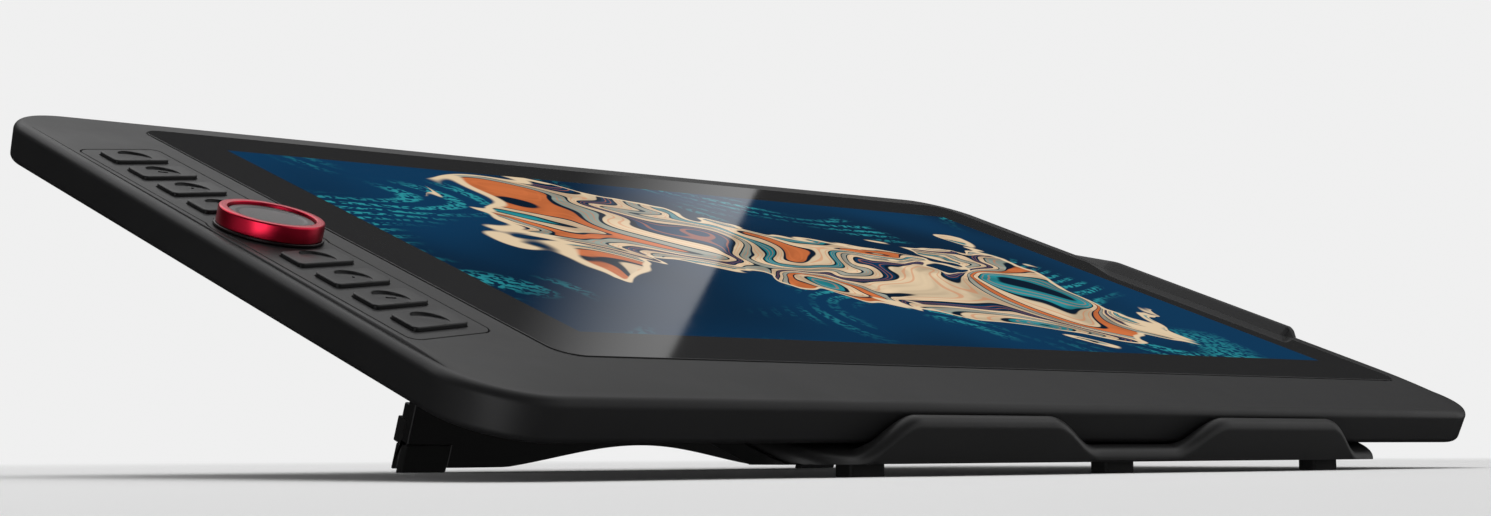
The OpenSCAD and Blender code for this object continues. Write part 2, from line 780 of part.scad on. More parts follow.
// Main board with a tab for the power switch and three chips underneath
module main_board() {
    color("#1d5a36") on_tablet() difference() {
        union() {
            translate([main_board_x, main_board_y, 0]) block(main_board_w, main_board_d, board_z, board_top);
            translate([power_x, 0, 0]) {
                box(-power_w, power_w, main_board_back - past, power_switch_y, board_z, board_top);
                box(-power_w / 2, power_w / 2, power_switch_y - power_switch_d, power_switch_y,
                    board_top - skin, power_z + power_h / 2);
            }
            for (i = [-1:1]) translate([main_board_x + i * chip_pitch, main_board_y, 0])
                block(chip_w, chip_w, board_z - chip_h, board_z + skin);
        }
        at(STANDOFFS) rod(screw_r + snug_gap, board_z - past, board_top + past);
    }
}

module board_standoffs() {
    color("#b08d3c") on_tablet() at(STANDOFFS) difference() {
        rod(standoff_r, board_top, shield_z);
        rod(screw_r + snug_gap, board_top - past, shield_z + past);
    }
}

// Ribbon from the panel's back edge round the shield's edge to the main board
module display_ribbon() {
    y_in = screen_y + backlight_d / 2 + free_gap;
    y_out = screen_y + shield_d / 2 + boss_gap;
    y_end = main_board_back - ribbon_lap;
    t = ribbon_t;
    color("#c77a24") on_tablet() translate([main_board_x - chip_pitch, 0, 0])
        rotate([90, 0, 90]) linear_extrude(display_ribbon_w, center = true) polygon([
            [y_in, lcd_z], [y_out + t, lcd_z], [y_out + t, ribbon_z], [y_end, ribbon_z],
            [y_end, board_z], [y_out, board_z], [y_out, lcd_z - t], [y_in, lcd_z - t]
        ]);
}

// Inlaid panel with an opening for each key and for the dial's shaft
module key_panel() {
    color("#343436") on_keys() difference() {
        translate([0, 0, panel_z]) linear_extrude(panel_t) panel_outline(0);
        translate([0, 0, panel_z - past]) at_keys() linear_extrude(panel_t + 2 * past) key_outline(key_gap);
        rod(shaft_r + free_gap, panel_z - past, body_t + past);
    }
}

module key_board() {
    color("#1d5a36") on_tablet() difference() {
        translate([key_x, 0, 0]) block(key_board_w, panel_d, board_z, board_top);
        at(KEY_BOSSES) rod(screw_r + snug_gap, board_z - past, board_top + past);
    }
}

module key_switches() {
    color("#8f9296") on_keys() at_keys() block(switch_w, switch_w, board_top, switch_z);
}

module key_ribbon() {
    color("#c77a24") on_tablet() translate([0, main_board_y - main_board_d / 4, 0])
        box(key_x + key_board_w / 2 - ribbon_lap, main_board_x - main_board_w / 2 + ribbon_lap,
            -key_ribbon_w / 2, key_ribbon_w / 2, ribbon_z, board_z);
}

module port_board() {
    color("#1d5a36") on_tablet() difference() {
        translate([port_board_x, 0, 0]) block(port_board_w, port_board_d, board_z, board_top);
        at(PORT_BOSSES) rod(screw_r + snug_gap, board_z - past, board_top + past);
    }
}

// Two metal sockets, each a shell closed at its inner end with a tongue in it
module usb_sockets() {
    color("#c9ccd0") on_tablet() at_sockets() {
        difference() {
            socket_form(0, socket_l);
            translate([3 * socket_wall, 0, 0]) socket_form(-socket_wall, socket_l);
        }
        box(socket_wall, socket_l - 3 * socket_wall, -tongue_w / 2, tongue_w / 2,
            -tongue_t / 2, tongue_t / 2);
    }
}

module port_ribbon() {
    x_in = port_board_x - port_board_w / 2;
    color("#c77a24") on_tablet()
        box(x_in, x_in + port_ribbon_w, port_board_d / 2 - ribbon_lap,
            main_board_y - main_board_d / 2 + ribbon_lap, ribbon_z, board_z);
}

// Raised ridge over the sockets: a sloped inner face, a bevelled top and a long ramp at the back
module port_ridge() {
    front = -ridge_l / 2;
    back = ridge_l / 2 - ridge_ramp;
    color("#2b2b2d") on_tablet() translate([body_w / 2 - edge_r, 0, body_t]) hull() {
        box(-ridge_w, 0, front, ridge_l / 2, 0, skin);
        box(-ridge_top_w - 2 * ridge_bevel, 0, front + ridge_nose / 2, back, 0, ridge_h - ridge_bevel);
        box(-ridge_top_w - ridge_bevel, -ridge_bevel, front + ridge_nose, back, 0, ridge_h);
    }
}

module case_screws() {
    color("#9a9da1") on_tablet() at(CASE_SCREWS) screw(0, cover_t - head_h + thread_l);
}

module shield_screws() {
    color("#9a9da1") on_tablet() at(SHIELD_BOSSES) screw(shield_z - head_h, shield_t + short_thread_l);
}

module board_screws() {
    color("#9a9da1") on_tablet() {
        at(concat(PORT_BOSSES, KEY_BOSSES)) screw(board_z - head_h, board_t + short_thread_l);
        at(STANDOFFS) screw(board_z - head_h, board_t + standoff_h - switch_gap);
    }
}

module tablet_feet() {
    x = body_w / 2 - pad_foot_inset;
    y = body_d / 2 - pad_foot_inset;
    color("#161616") on_tablet() for (side = [-1, 1], end = [-1, 1])
        translate([side * x, end * y, 0]) rod(pad_foot_r, -pad_foot_t, 0);
}

module dial_encoder() {
    color("#3c3f44") on_keys() difference() {
        block(encoder_w, encoder_w, board_top, encoder_top);
        rod(shaft_r + run_gap, board_top + free_gap, encoder_top + past);
    }
}

module dial_hub() {
    color("#1b1b1c") on_keys() {
        rod(shaft_r, board_top + 2 * free_gap, dial_z + skin);
        rod(dial_base_r, dial_z, ring_z);
    }
}

module dial_ring() {
    color("#b01530") on_keys() difference() {
        rod(dial_r, ring_z, body_t + dial_rise);
        rod(dial_r - dial_wall, ring_z - past, body_t + dial_rise + past);
    }
}

module dial_cap() {
    color("#2e3031") on_keys() rod(dial_r - dial_wall - inlay_gap, ring_z, cap_z);
}

module power_button() {
    color("#2b2b2d") on_tablet() translate([power_x, 0, power_z]) {
        power_form(0, power_flange_y - power_flange_t, power_wall + power_rise);
        power_form(key_flange, power_flange_y - power_flange_t, power_flange_y);
        rotate([90, 0, 0]) rod(power_stem_r, -power_flange_y, -power_stem_y);
    }
}

// A key: a scooped cap in its opening and a flange under the case's face,
// with a raised bar or dot where a finger has to find its place
module key(i) {
    place = key_step(i);
    mark_l = place == keys_a_side - 2 ? bar_l : place == keys_a_side - 3 ? bar_w : 0;
    top = body_t + key_rise;
    color("#39393b") on_keys() translate([0, key_y(i), 0]) {
        difference() {
            translate([0, 0, key_flange_z]) linear_extrude(top - key_flange_z) key_outline(0);
            translate([0, 0, top - dish_mid]) rotate([-dish_tilt, 0, 0]) rod(dish_r, 0, 2 * past);
        }
        translate([0, 0, key_flange_z]) linear_extrude(key_flange_t) key_outline(key_flange);
        if (mark_l > 0) block(mark_l, bar_w, body_t, top - dish_mid + bar_h);
    }
}

// Stand

// Upper shell with the rim, the rear nose, the front lip and the screw bosses
module stand_top_shell() {
    lip_points = [for (i = [-lip_steps:lip_steps]) let (x = lip_half * i / lip_steps) [x, lip_top(x)]];
    color("#1f1f20") intersection() {
        above(foot_h);
        on_deck() difference() {
            union() {
                translate([0, deck_l / 2, -seam_drop])
                    soft_slab(deck_w, deck_l, deck_r, seam_drop, rim_r, 0, 0);
                intersection() {
                    translate([0, deck_l / 2, -nose_h]) slab(deck_w, deck_l, deck_r, nose_h - plate_t);
                    box(-far, far, deck_l - nose_t, far, -far, far);
                }
                translate([0, lip_t, 0]) rotate([90, 0, 0]) linear_extrude(lip_t)
                    polygon(concat([[lip_half, -plate_t], [-lip_half, -plate_t]], lip_points));
                at(STAND_SCREWS) rod(boss_r, deck_floor - deck_t, -plate_t + skin);
            }
            difference() {
                translate([0, deck_l / 2, -seam_drop - past])
                    slab(deck_w - 2 * deck_wall, deck_l - 2 * nose_t, deck_r - deck_wall,
                         seam_drop - plate_t + past);
                cutout(deck_wall);
                at(STAND_SCREWS) rod(boss_r, -far, far);
            }
            cutout(0);
            at(STAND_SCREWS) rod(screw_r + snug_gap, -far, deck_floor - deck_t + thread_l + free_gap);
        }
    }
}

// Lower shell: a tray with blocks for the hinge pins and a groove along the seam
module stand_bottom_shell() {
    color("#1a1a1b") intersection() {
        above(foot_h);
        on_deck() difference() {
            translate([0, tray_l / 2, -deck_t]) {
                slab(deck_w, tray_l, deck_r, deck_t - seam_drop - groove_h);
                slab(deck_w - 2 * groove_w, tray_l - 2 * groove_w, deck_r - groove_w, deck_t - seam_drop);
            }
            tray_hollow();
            cutout(0);
            at(STAND_SCREWS) {
                rod(boss_r + inlay_gap, deck_floor - deck_t, past);
                rod(screw_r + snug_gap, -far, past);
                rod(head_r + inlay_gap, -far, head_h - deck_t);
            }
            translate([0, hinge_s, -hinge_drop]) hinge_bores(pin_r + snug_gap, pin_in_deck + free_gap);
        }
    }
}

// The room inside the lower shell, whose floor stays level where the shell is cut level
module tray_hollow() {
    block_w = pin_in_deck + 2 * past;
    difference() {
        intersection() {
            rotate([-tilt, 0, 0]) translate([0, foot_back, -front_h]) above(foot_h + deck_floor);
            translate([0, tray_l / 2, deck_floor - deck_t])
                slab(deck_w - 2 * tray_wall, tray_l - 2 * tray_wall, deck_r - tray_wall, deck_t);
        }
        cutout(deck_wall);
        both_sides() translate([(cut_w + block_w) / 2, hinge_s, 0]) block(block_w, hinge_block, -far, far);
    }
}

module hinge_pins() {
    color("#a8abae") on_leg() for (x = [-1, 1]) translate([x * (leg_w / 2 - pin_in_leg), 0, 0])
        rotate([0, x * 90, 0]) rod(pin_r, 0, pin_in_leg + leg_gap + pin_in_deck);
}

module deck_pads() {
    color("#121212") on_deck() for (x = [-1, 1]) translate([x * side_x, 0, 0]) {
        translate([0, pad_front + pad_l / 2, 0]) slab(pad_w, pad_l, pad_r, pad_t);
        translate([0, hinge_s - pad_rear - pad_rear_l / 2, 0]) slab(pad_w, pad_rear_l, pad_r, pad_t);
    }
}

module front_feet() {
    color("#101010") for (x = [-1:1]) translate([x * foot_pitch, 0, 0]) slab(foot_w, foot_d, foot_r, foot_h);
}

module stand_screws() {
    color("#9a9da1") on_deck() at(STAND_SCREWS) screw(-deck_t, deck_floor - head_h + thread_l);
}

// Leg: two arms on the hinge pins above an arched panel with grooves across its back
module leg_panel() {
    low = -leg_end - past;
    side = leg_w / 2;
    round_end = [for (i = [0:arch_steps]) let (a = 180 * i / arch_steps) leg_t / 2 * [-cos(a), sin(a)]];
    outline = concat(
        [[side, low], [side, 0], [-side, 0], [-side, low], [-arch_half, low]],
        arch_line(arch_z),
        [[arch_half, low]]
    );
    window = concat(
        corner_arc(window_r - window_w / 2, window_r + window_z, window_r, 180),
        corner_arc(window_w / 2 - window_r, window_r + window_z, window_r, 270),
        [[window_w / 2, leg_t], [-window_w / 2, leg_t]]
    );
    color("#181819") intersection() {
        above(leg_clear);
        on_leg() difference() {
            union() {
                rotate([90, 0, 0]) linear_extrude(leg_t, center = true) polygon(outline);
                rotate([90, 0, 90]) linear_extrude(leg_w, center = true)
                    polygon(concat([[-leg_t / 2, -leg_t]], round_end, [[leg_t / 2, -leg_t]]));
            }
            rotate([90, 0, 0]) linear_extrude(2 * leg_t, center = true) polygon(window);
            hinge_bores(pin_r + run_gap, 0);
            both_sides() leg_foot_form(past);
            both_sides() bumper_forms(past);
            for (i = [0, 1]) translate([0, 0, leg_groove_low + i * leg_groove_step - leg_reach])
                box(-leg_w, leg_w, leg_t / 2 - leg_groove_in, leg_t, 0, leg_groove_h);
        }
    }
}

// A foot let into the front of the leg's lower corner, and the cut for it
module leg_foot_form(beyond) {
    box(leg_w / 2 - leg_foot_w, leg_w / 2 + beyond, -leg_t / 2 - beyond, 0,
        -leg_end - past, leg_foot_l - leg_reach);
}

// Two bumpers let into the leg's back at its side, and the cuts for them
module bumper_forms(beyond) {
    for (place = [[bumper_low, bumper_low_l], [bumper_high, bumper_high_l]])
        translate([0, 0, place[0] - leg_reach])
            box(leg_w / 2 - bumper_w, leg_w / 2 + beyond, leg_t / 2 - bumper_in, leg_t / 2 + bumper_out,
                0, place[1]);
}

module leg_feet() {
    color("#0f0f0f") intersection() {
        above(0);
        on_leg() both_sides() leg_foot_form(0);
    }
}

module leg_bumpers() {
    color("#0f0f0f") on_leg() both_sides() bumper_forms(0);
}

top_case();
rear_cover();
cover_glass();
glass_adhesive();
lcd_panel();
backlight();
digitizer_sheet();
shield_plate();
main_board();
board_standoffs();
display_ribbon();
key_panel();
key_board();
key_switches();
key_ribbon();
port_board();
usb_sockets();
port_ribbon();
port_ridge();
case_screws();
shield_screws();
board_screws();
tablet_feet();
dial_encoder();
dial_hub();
dial_ring();
dial_cap();
power_button();
for (i = [1:key_count]) key(i);
stand_top_shell();
stand_bottom_shell();
deck_pads();
front_feet();
hinge_pins();
stand_screws();
leg_panel();
leg_feet();
leg_bumpers();
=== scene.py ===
"""Dresses the solids of a pen display and its folding stand.

Each piece is a surface worked out on a grid in the tablet's, the deck's or the leg's own axes,
and a frame carries it to its place on the stand. Sizes are in metres.
"""

import math

import bmesh
import bpy
import numpy as np
from bpy.props import FloatProperty, FloatVectorProperty, PointerProperty
from bpy.types import Operator, Panel, PropertyGroup
from mathutils import Matrix, Vector
from mathutils.geometry import tessellate_polygon


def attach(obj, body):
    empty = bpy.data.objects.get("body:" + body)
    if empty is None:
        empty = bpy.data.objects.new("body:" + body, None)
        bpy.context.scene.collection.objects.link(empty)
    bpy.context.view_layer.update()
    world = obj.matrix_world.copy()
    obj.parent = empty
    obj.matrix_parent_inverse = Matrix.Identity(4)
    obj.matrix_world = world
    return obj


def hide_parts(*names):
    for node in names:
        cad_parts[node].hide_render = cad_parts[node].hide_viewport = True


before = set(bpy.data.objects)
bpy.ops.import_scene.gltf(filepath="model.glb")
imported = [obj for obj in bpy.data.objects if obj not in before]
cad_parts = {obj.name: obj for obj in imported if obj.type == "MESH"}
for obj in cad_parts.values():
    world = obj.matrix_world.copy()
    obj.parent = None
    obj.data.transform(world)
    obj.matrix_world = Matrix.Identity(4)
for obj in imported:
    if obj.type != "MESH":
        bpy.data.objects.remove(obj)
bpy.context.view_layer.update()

bl_info = {
    "name": "Pen display on a folding stand",
    "version": (1, 0, 0),
    "blender": (4, 5, 0),
    "location": "3D View > Sidebar > Pen display",
    "description": "Dresses the solids of a pen display and its folding stand",
    "category": "Object",
}

# Places that the solids fix: the deck's tilt, its front edge, the tablet on it and the leg's axis
TILT = math.radians(20.0)
DECK_FRONT = (0.0, -0.0105, 0.0049)
TABLET_SEAT = (-0.01725, 0.14635, 0.0012)
LEG_AXIS = (0.0, 0.219, -0.0062)
SHELL_LEVEL = 0.0034
LEG_LEVEL = 0.0014

# Rubber of the stand: each row of pads by its middle and depth, the front feet by place and size
PAD_ROWS = ((0.06575, 0.0425), (0.197, 0.024))
FRONT_FEET = (-0.108, 0.0, 0.108)
FRONT_FOOT = (0.0135, 0.0065, 0.0012)

# Relief of the leg in heights over its foot: grooves across its back, steps at the sides of its
# back and recesses at the lower corners of its front
GROOVES = (0.0245, 0.0345)
GROOVE_W, GROOVE_DEEP = 0.002, 0.0024
STEPS = ((0.01, 0.019), (0.044, 0.055))
STEP_W, STEP_DEEP = 0.014, 0.003
RECESS_W, RECESS_H = 0.0185, 0.011

# Rounding of the lip's back edge, fillet at its foot, and how far a cutting block reaches past a face
LIP_ROUND, LIP_FILLET = 0.0024, 0.0018
PAST = 0.003

KEY_STEP = 0.0186
KEY_START = 0.0266
KEY_SHEAR = math.tan(math.radians(18.0))
KEY_ROWS = np.concatenate([KEY_START + KEY_STEP * np.arange(3, -1, -1), -KEY_START - KEY_STEP * np.arange(4)])
SOFT = 0.00025


def length(name, description, default):
    """A length that a user may change."""
    return FloatProperty(
        name=name, description=description, default=default, unit="LENGTH", subtype="DISTANCE"
    )


def tint(name, description, default):
    """A colour that a user may change."""
    return FloatVectorProperty(
        name=name, description=description, default=default, size=3, min=0.0, max=1.0, subtype="COLOR"
    )


def angle(name, description, degrees):
    """An angle that a user may change."""
    return FloatProperty(
        name=name, description=description, default=math.radians(degrees), unit="ROTATION", subtype="ANGLE"
    )


class PenTabletSizes(PropertyGroup):
    """Sizes of the tablet."""

    width: length("Width", "Width of the body", 0.4435)
    depth: length("Depth", "Depth of the body", 0.2801)
    thickness: length("Thickness", "Thickness of the body", 0.0128)
    corner: length("Corner radius", "Plan radius of the body's corners", 0.024)
    edge: length("Edge rounding", "Rounding along the top edge", 0.0029)
    under: length("Underside rounding", "Rounding along the underside's edge", 0.0024)
    taper: length("Taper", "How far the walls run in towards the underside", 0.0005)
    widest: length("Widest line", "Height of the body's widest line", 0.0098)
    wall: length("Wall", "From the widest line to the inside of the wall", 0.0029)
    face: length("Face", "Height of the face's underside", 0.0102)
    crown: length("Crown", "How far the face falls away at the front edge", 0.0009)
    crown_w: length("Crown width", "From the front edge to where the face turns level", 0.028)
    crown_side: length("Level margin", "From the other edges to the level face", 0.0036)
    glass_x: length("Glass middle across", "From the body's middle to the glass's middle", 0.01725)
    glass_y: length("Glass middle along", "From the body's middle to the glass's middle", 0.00995)
    glass_w: length("Glass width", "Width of the cover glass", 0.386)
    glass_d: length("Glass depth", "Depth of the cover glass", 0.236)
    glass_r: length("Glass corner", "Corner radius of the cover glass", 0.008)
    glass_z: length("Glass underside", "Height of the glass's underside", 0.0117)
    glass_top: length("Glass top", "Height of the glass's face", 0.0131)
    ledge_z: length("Glass ledge", "Height of the ledge under the glass", 0.0115)
    ledge_w: length("Glass ledge width", "Width of the ledge under the glass", 0.012)
    picture_w: length("Picture width", "Width of the lit picture", 0.3442)
    picture_d: length("Picture depth", "Depth of the lit picture", 0.1936)
    gap: length("Seam", "Gap around inlaid pieces", 0.0002)
    key_x: length("Key column", "From the body's middle to the key column", -0.20015)
    key_w: length("Key width", "Width of a key", 0.0214)
    key_d: length("Key depth", "Depth of a key", 0.012)
    key_r: length("Key corner", "Corner radius of a key", 0.0016)
    key_top: length("Key top", "Height of a key's top", 0.0139)
    key_foot: length("Key foot", "Height of a key's flange", 0.0092)
    key_flange: length("Key flange", "Width of a key's flange", 0.001)
    key_gap: length("Key gap", "Gap around a key", 0.00025)
    dish_r: length("Scoop radius", "Plan radius of a key's finger scoop", 0.0052)
    dish_far: length("Scoop depth, far", "Depth of a key's scoop at its far rim", 0.0008)
    dish_near: length("Scoop depth, near", "Depth of a key's scoop at its near rim", 0.0001)
    mark_l: length("Bar length", "Length of the raised bar in two of the keys", 0.0032)
    mark_w: length("Bar width", "Width of the raised bars and dots", 0.0008)
    panel_w: length("Key panel width", "Width of the panel around the keys", 0.0322)
    panel_d: length("Key panel depth", "Depth of the panel around the keys", 0.1882)
    panel_r: length("Key panel corner", "Corner radius of the key panel", 0.004)
    panel_z: length("Key panel underside", "Height of the key panel's underside", 0.0118)
    bulge_r: length("Bulge", "Radius of the key panel's bulge round the dial", 0.0174)
    dial_r: length("Dial radius", "Outer radius of the dial's ring", 0.015)
    dial_wall: length("Dial wall", "Wall of the dial's ring", 0.0026)
    dial_base: length("Dial base", "Radius of the dial's base", 0.0156)
    dial_z: length("Dial base level", "Height of the dial's base", 0.0131)
    ring_z: length("Ring level", "Height of the ring's lower edge", 0.0138)
    ring_top: length("Ring top", "Height of the ring's rim", 0.0186)
    cap_top: length("Cap top", "Height of the cap in the ring", 0.0177)
    shaft_r: length("Shaft radius", "Radius of the dial's shaft", 0.003)
    shaft_z: length("Shaft end", "Height of the shaft's lower end", 0.0066)
    ridge_x: length("Ridge edge", "From the body's middle to the ridge's outer edge", 0.21875)
    ridge_l: length("Ridge length", "Length of the raised ridge", 0.112)
    ridge_w: length("Ridge width", "Width of the ridge's foot", 0.0064)
    ridge_h: length("Ridge height", "Height of the ridge", 0.0034)
    ridge_top: length("Ridge top width", "Width of the ridge's top", 0.0024)
    ridge_bevel: length("Ridge bevel", "Bevel along the ridge's top", 0.0008)
    ridge_nose: length("Ridge nose", "Length of the slope at the ridge's front", 0.003)
    ridge_ramp: length("Ridge ramp", "Length of the ramp at the ridge's back", 0.022)
    foot_x: length("Foot across", "From the middle to a rubber foot", 0.19575)
    foot_y: length("Foot along", "From the middle to a rubber foot", 0.11405)
    foot_r: length("Foot radius", "Radius of a rubber foot", 0.008)
    foot_t: length("Foot thickness", "Thickness of a rubber foot", 0.0015)
    socket_w: length("Socket width", "Width of a socket", 0.00894)
    socket_h: length("Socket height", "Height of a socket", 0.00316)
    socket_y: length("Socket place", "From the middle to a socket", 0.011)
    socket_z: length("Socket level", "Height of the sockets' middle", 0.00758)
    power_x: length("Power button place", "From the middle to the power button", 0.14975)
    power_z: length("Power button level", "Height of the power button's middle", 0.007)
    power_w: length("Power button width", "Width of the power button's slot", 0.0105)
    power_h: length("Power button height", "Height of the power button's slot", 0.0035)


class PenStandSizes(PropertyGroup):
    """Sizes of the stand."""

    width: length("Width", "Width of the deck", 0.274)
    length: length("Length", "Length of the deck", 0.238)
    corner: length("Corner radius", "Corner radius of the deck", 0.016)
    thickness: length("Thickness", "Thickness of the deck", 0.0095)
    seam: length("Seam", "Depth of the seam below the deck's face", 0.0036)
    groove_h: length("Groove height", "Height of the groove along the seam", 0.001)
    groove_w: length("Groove depth", "Depth of the groove along the seam", 0.0012)
    rim: length("Rim", "Rounding of the deck's rim", 0.003)
    nose_h: length("Nose depth", "Depth of the nose along the rear edge", 0.0065)
    nose_t: length("Nose thickness", "Thickness of the nose", 0.004)
    tray_gap: length("Tray gap", "Gap between the tray and the nose", 0.0003)
    lip_t: length("Lip thickness", "Thickness of the front lip", 0.006)
    lip_h: length("Lip height", "Height of the lip's humps", 0.011)
    dip_h: length("Dip height", "Height of the lip between its humps", 0.002)
    dip_half: length("Dip half width", "Half width of the dip", 0.018)
    hump_in: length("Hump start", "From the middle to the hump's level top", 0.042)
    hump_out: length("Hump end", "From the middle to the end of the hump's level top", 0.097)
    lip_half: length("Lip half width", "Half width of the lip", 0.119)
    cut_w: length("Cutout width", "Width of the cutout for the leg", 0.21)
    cut_front: length("Cutout front", "From the front edge to the cutout", 0.134007)
    cut_rear: length("Cutout rear", "From the front edge to the cutout's end", 0.2226)
    cut_r: length("Cutout corner", "Corner radius of the cutout", 0.008)
    arch_h: length("Arch height", "Height of the arch under the leg", 0.0092)
    arch_half: length("Arch half width", "Half width of that arch", 0.078)
    pad_x: length("Pad place", "From the middle to the rubber pads", 0.121)
    pad_w: length("Pad width", "Width of the rubber pads", 0.019)
    pad_t: length("Pad thickness", "Thickness of the rubber pads", 0.0012)
    leg_w: length("Leg width", "Width of the leg", 0.208)
    leg_t: length("Leg thickness", "Thickness of the leg", 0.0066)
    arm_w: length("Arm width", "Width of the leg's arms", 0.031)
    window_z: length("Window floor", "From the hinge down to the window's lower edge", -0.036724)
    window_r: length("Window corner", "Corner radius of the window", 0.01)
    leg_reach: length("Leg reach", "From the hinge to the desk along the leg", 0.078724)


class PenFinish(PropertyGroup):
    """Colours of the finishes."""

    case: tint("Case", "Satin black of the tablet's case", (0.012, 0.012, 0.0125))
    panel: tint("Key panel", "Satin black of the key panel", (0.012, 0.012, 0.0125))
    keys: tint("Keys", "Satin black of the keys", (0.011, 0.011, 0.0115))
    stand: tint("Stand", "Satin black of the deck", (0.014, 0.014, 0.0143))
    leg: tint("Leg", "Satin black of the leg", (0.009, 0.009, 0.0092))
    rubber: tint("Rubber", "Black of the feet and pads", (0.006, 0.006, 0.006))
    dial: tint("Dial ring", "Anodised crimson of the dial's ring", (0.44, 0.005, 0.028))
    cap: tint("Dial cap", "Dark grey of the dial's cap", (0.016, 0.016, 0.016))
    border: tint("Glass border", "Black behind the glass's border", (0.036, 0.036, 0.037))
    night: tint("Picture ground", "Deep blue of the picture's ground", (0.001, 0.034, 0.092))
    teal: tint("Picture teal", "Teal of the picture's veins", (0.02, 0.26, 0.3))
    cream: tint("Picture cream", "Cream of the picture's drifts", (0.72, 0.56, 0.37))
    rust: tint("Picture rust", "Orange of the picture's veins", (0.6, 0.16, 0.05))
    sage: tint("Picture sage", "Grey green of the picture's drifts", (0.3, 0.35, 0.3))


class PenStage(PropertyGroup):
    """Camera and light."""

    lens: FloatProperty(
        name="Lens", description="Focal length on a 36 mm wide sensor", default=56.6, unit="CAMERA"
    )
    eye: FloatVectorProperty(
        name="Eye", description="Place of the camera", default=(-0.56257, -0.44233, 0.00745), subtype="XYZ"
    )
    yaw: angle("Yaw", "Turn from +Y towards +X", 41.9)
    pitch: angle("Pitch", "Upward look", 5.18)
    roll: angle("Roll", "Roll of the camera", 0.23)
    shift: FloatVectorProperty(
        name="Shift", description="Shift as a share of the width", default=(0.031, -0.014), size=2
    )
    pale: tint("Backdrop", "Pale ground behind the object", (0.87, 0.87, 0.87))


# Frames


class Place:
    """Own axes to the row's axes: a turn about X by the tilt, a shift, and no lower than a level."""

    def __init__(self, shift, level=None):
        c, s = math.cos(TILT), math.sin(TILT)
        self.turn = np.array([[1, 0, 0], [0, c, -s], [0, s, c]])
        self.shift = self.turn @ np.array(shift) + np.array(DECK_FRONT)
        self.level = level

    def __call__(self, points):
        moved = points @ self.turn.T + self.shift
        if self.level is not None:
            moved[:, 2] = np.maximum(moved[:, 2], self.level)
        return moved


class Desk:
    """The row's own axes, for pieces that stand level on the desk."""

    def __call__(self, points):
        return points


ON_DECK = Place((0, 0, 0))
ON_DECK_LEVEL = Place((0, 0, 0), SHELL_LEVEL)
ON_TABLET = Place(TABLET_SEAT)
ON_LEG = Place(LEG_AXIS)
ON_DESK = Desk()


# Lines


def arc(x, y, r, start, turn, steps=12):
    """Points at radius r round (x, y), from an angle of start through turn degrees."""
    a = np.radians(start + turn * np.linspace(0, 1, steps + 1))
    return np.column_stack([x + r * np.cos(a), y + r * np.sin(a)])


def rounded(w, d, r, x=0.0, y=0.0, steps=12):
    """A rectangle about (x, y) with round corners, anticlockwise from its right side."""
    ax, ay = w / 2 - r, d / 2 - r
    corners = [(ax, ay, 0), (-ax, ay, 90), (-ax, -ay, 180), (ax, -ay, 270)]
    return np.concatenate([arc(x + cx, y + cy, r, start, 90, steps) for cx, cy, start in corners])


def sheared(outline, x=0.0, y=0.0):
    """The outline with y raised by x times the keys' slope, then moved to (x, y)."""
    return np.column_stack([outline[:, 0] + x, outline[:, 1] + outline[:, 0] * KEY_SHEAR + y])


def softened(corners, steps=6):
    """A line through (a, b, radius) corners with an arc at each: a rational quadratic between
    the points that lie radius times tan(half the turn) before and after the corner."""
    c = np.asarray(corners, float)
    p, r = c[:, :2], c[:, 2]
    run = np.diff(p, axis=0)
    run /= np.linalg.norm(run, axis=1, keepdims=True)
    before = np.vstack([run[:1], run])
    after = np.vstack([run, run[-1:]])
    half = np.arccos(np.clip(np.sum(before * after, 1), -1, 1)) / 2
    cut = (r * np.tan(half))[:, None]
    t = np.linspace(0, 1, steps + 1)
    first, last = (1 - t) ** 2, t**2
    middle = np.cos(half)[:, None] * 2 * t * (1 - t)
    start, stop = (p - cut * before)[:, None], (p + cut * after)[:, None]
    ends = first[None, :, None] * start + last[None, :, None] * stop
    line = (ends + middle[:, :, None] * p[:, None]) / (first + last + middle)[:, :, None]
    keep = np.ones(line.shape[:2], bool)
    keep[r == 0, 1:] = False
    return line[keep]


def outward(outline):
    """Outward normals of a closed anticlockwise line, lengthened at corners so that offsets stay parallel."""
    along = np.roll(outline, -1, 0) - outline
    along /= np.linalg.norm(along, axis=1, keepdims=True)
    mean = along + np.roll(along, 1, 0)
    mean /= np.linalg.norm(mean, axis=1, keepdims=True)
    stretch = np.sum(mean * along, 1, keepdims=True)
    return np.column_stack([mean[:, 1], -mean[:, 0]]) / stretch


def level(outline, z):
    """A plan line at height z."""
    return np.column_stack([outline, np.full(len(outline), z)])


def swept(outline, profile):
    """Rings of a closed line: ring k is the line moved in by profile[k, 0], at height profile[k, 1]."""
    inset, height = np.asarray(profile, float).T
    plan = outline[None] - inset[:, None, None] * outward(outline)[None]
    tall = np.broadcast_to(height[:, None, None], plan.shape[:2] + (1,))
    return np.concatenate([plan, tall], 2)


def turned(profile, x, y, steps=96):
    """Rings of a round piece about (x, y): radius profile[k, 0] at height profile[k, 1]."""
    radius, height = np.asarray(profile, float).T
    a = 2 * np.pi * np.arange(steps) / steps
    ring = np.stack([np.cos(a), np.sin(a)], -1)
    plan = radius[:, None, None] * ring[None] + np.array([x, y])
    tall = np.broadcast_to(height[:, None, None], plan.shape[:2] + (1,))
    return np.concatenate([plan, tall], 2)


def ease(x, a, b):
    """A smooth step: half of 1 minus the cosine of the way from a to b."""
    return (1 - np.cos(np.pi * np.clip((x - a) / (b - a), 0, 1))) / 2


# Meshes


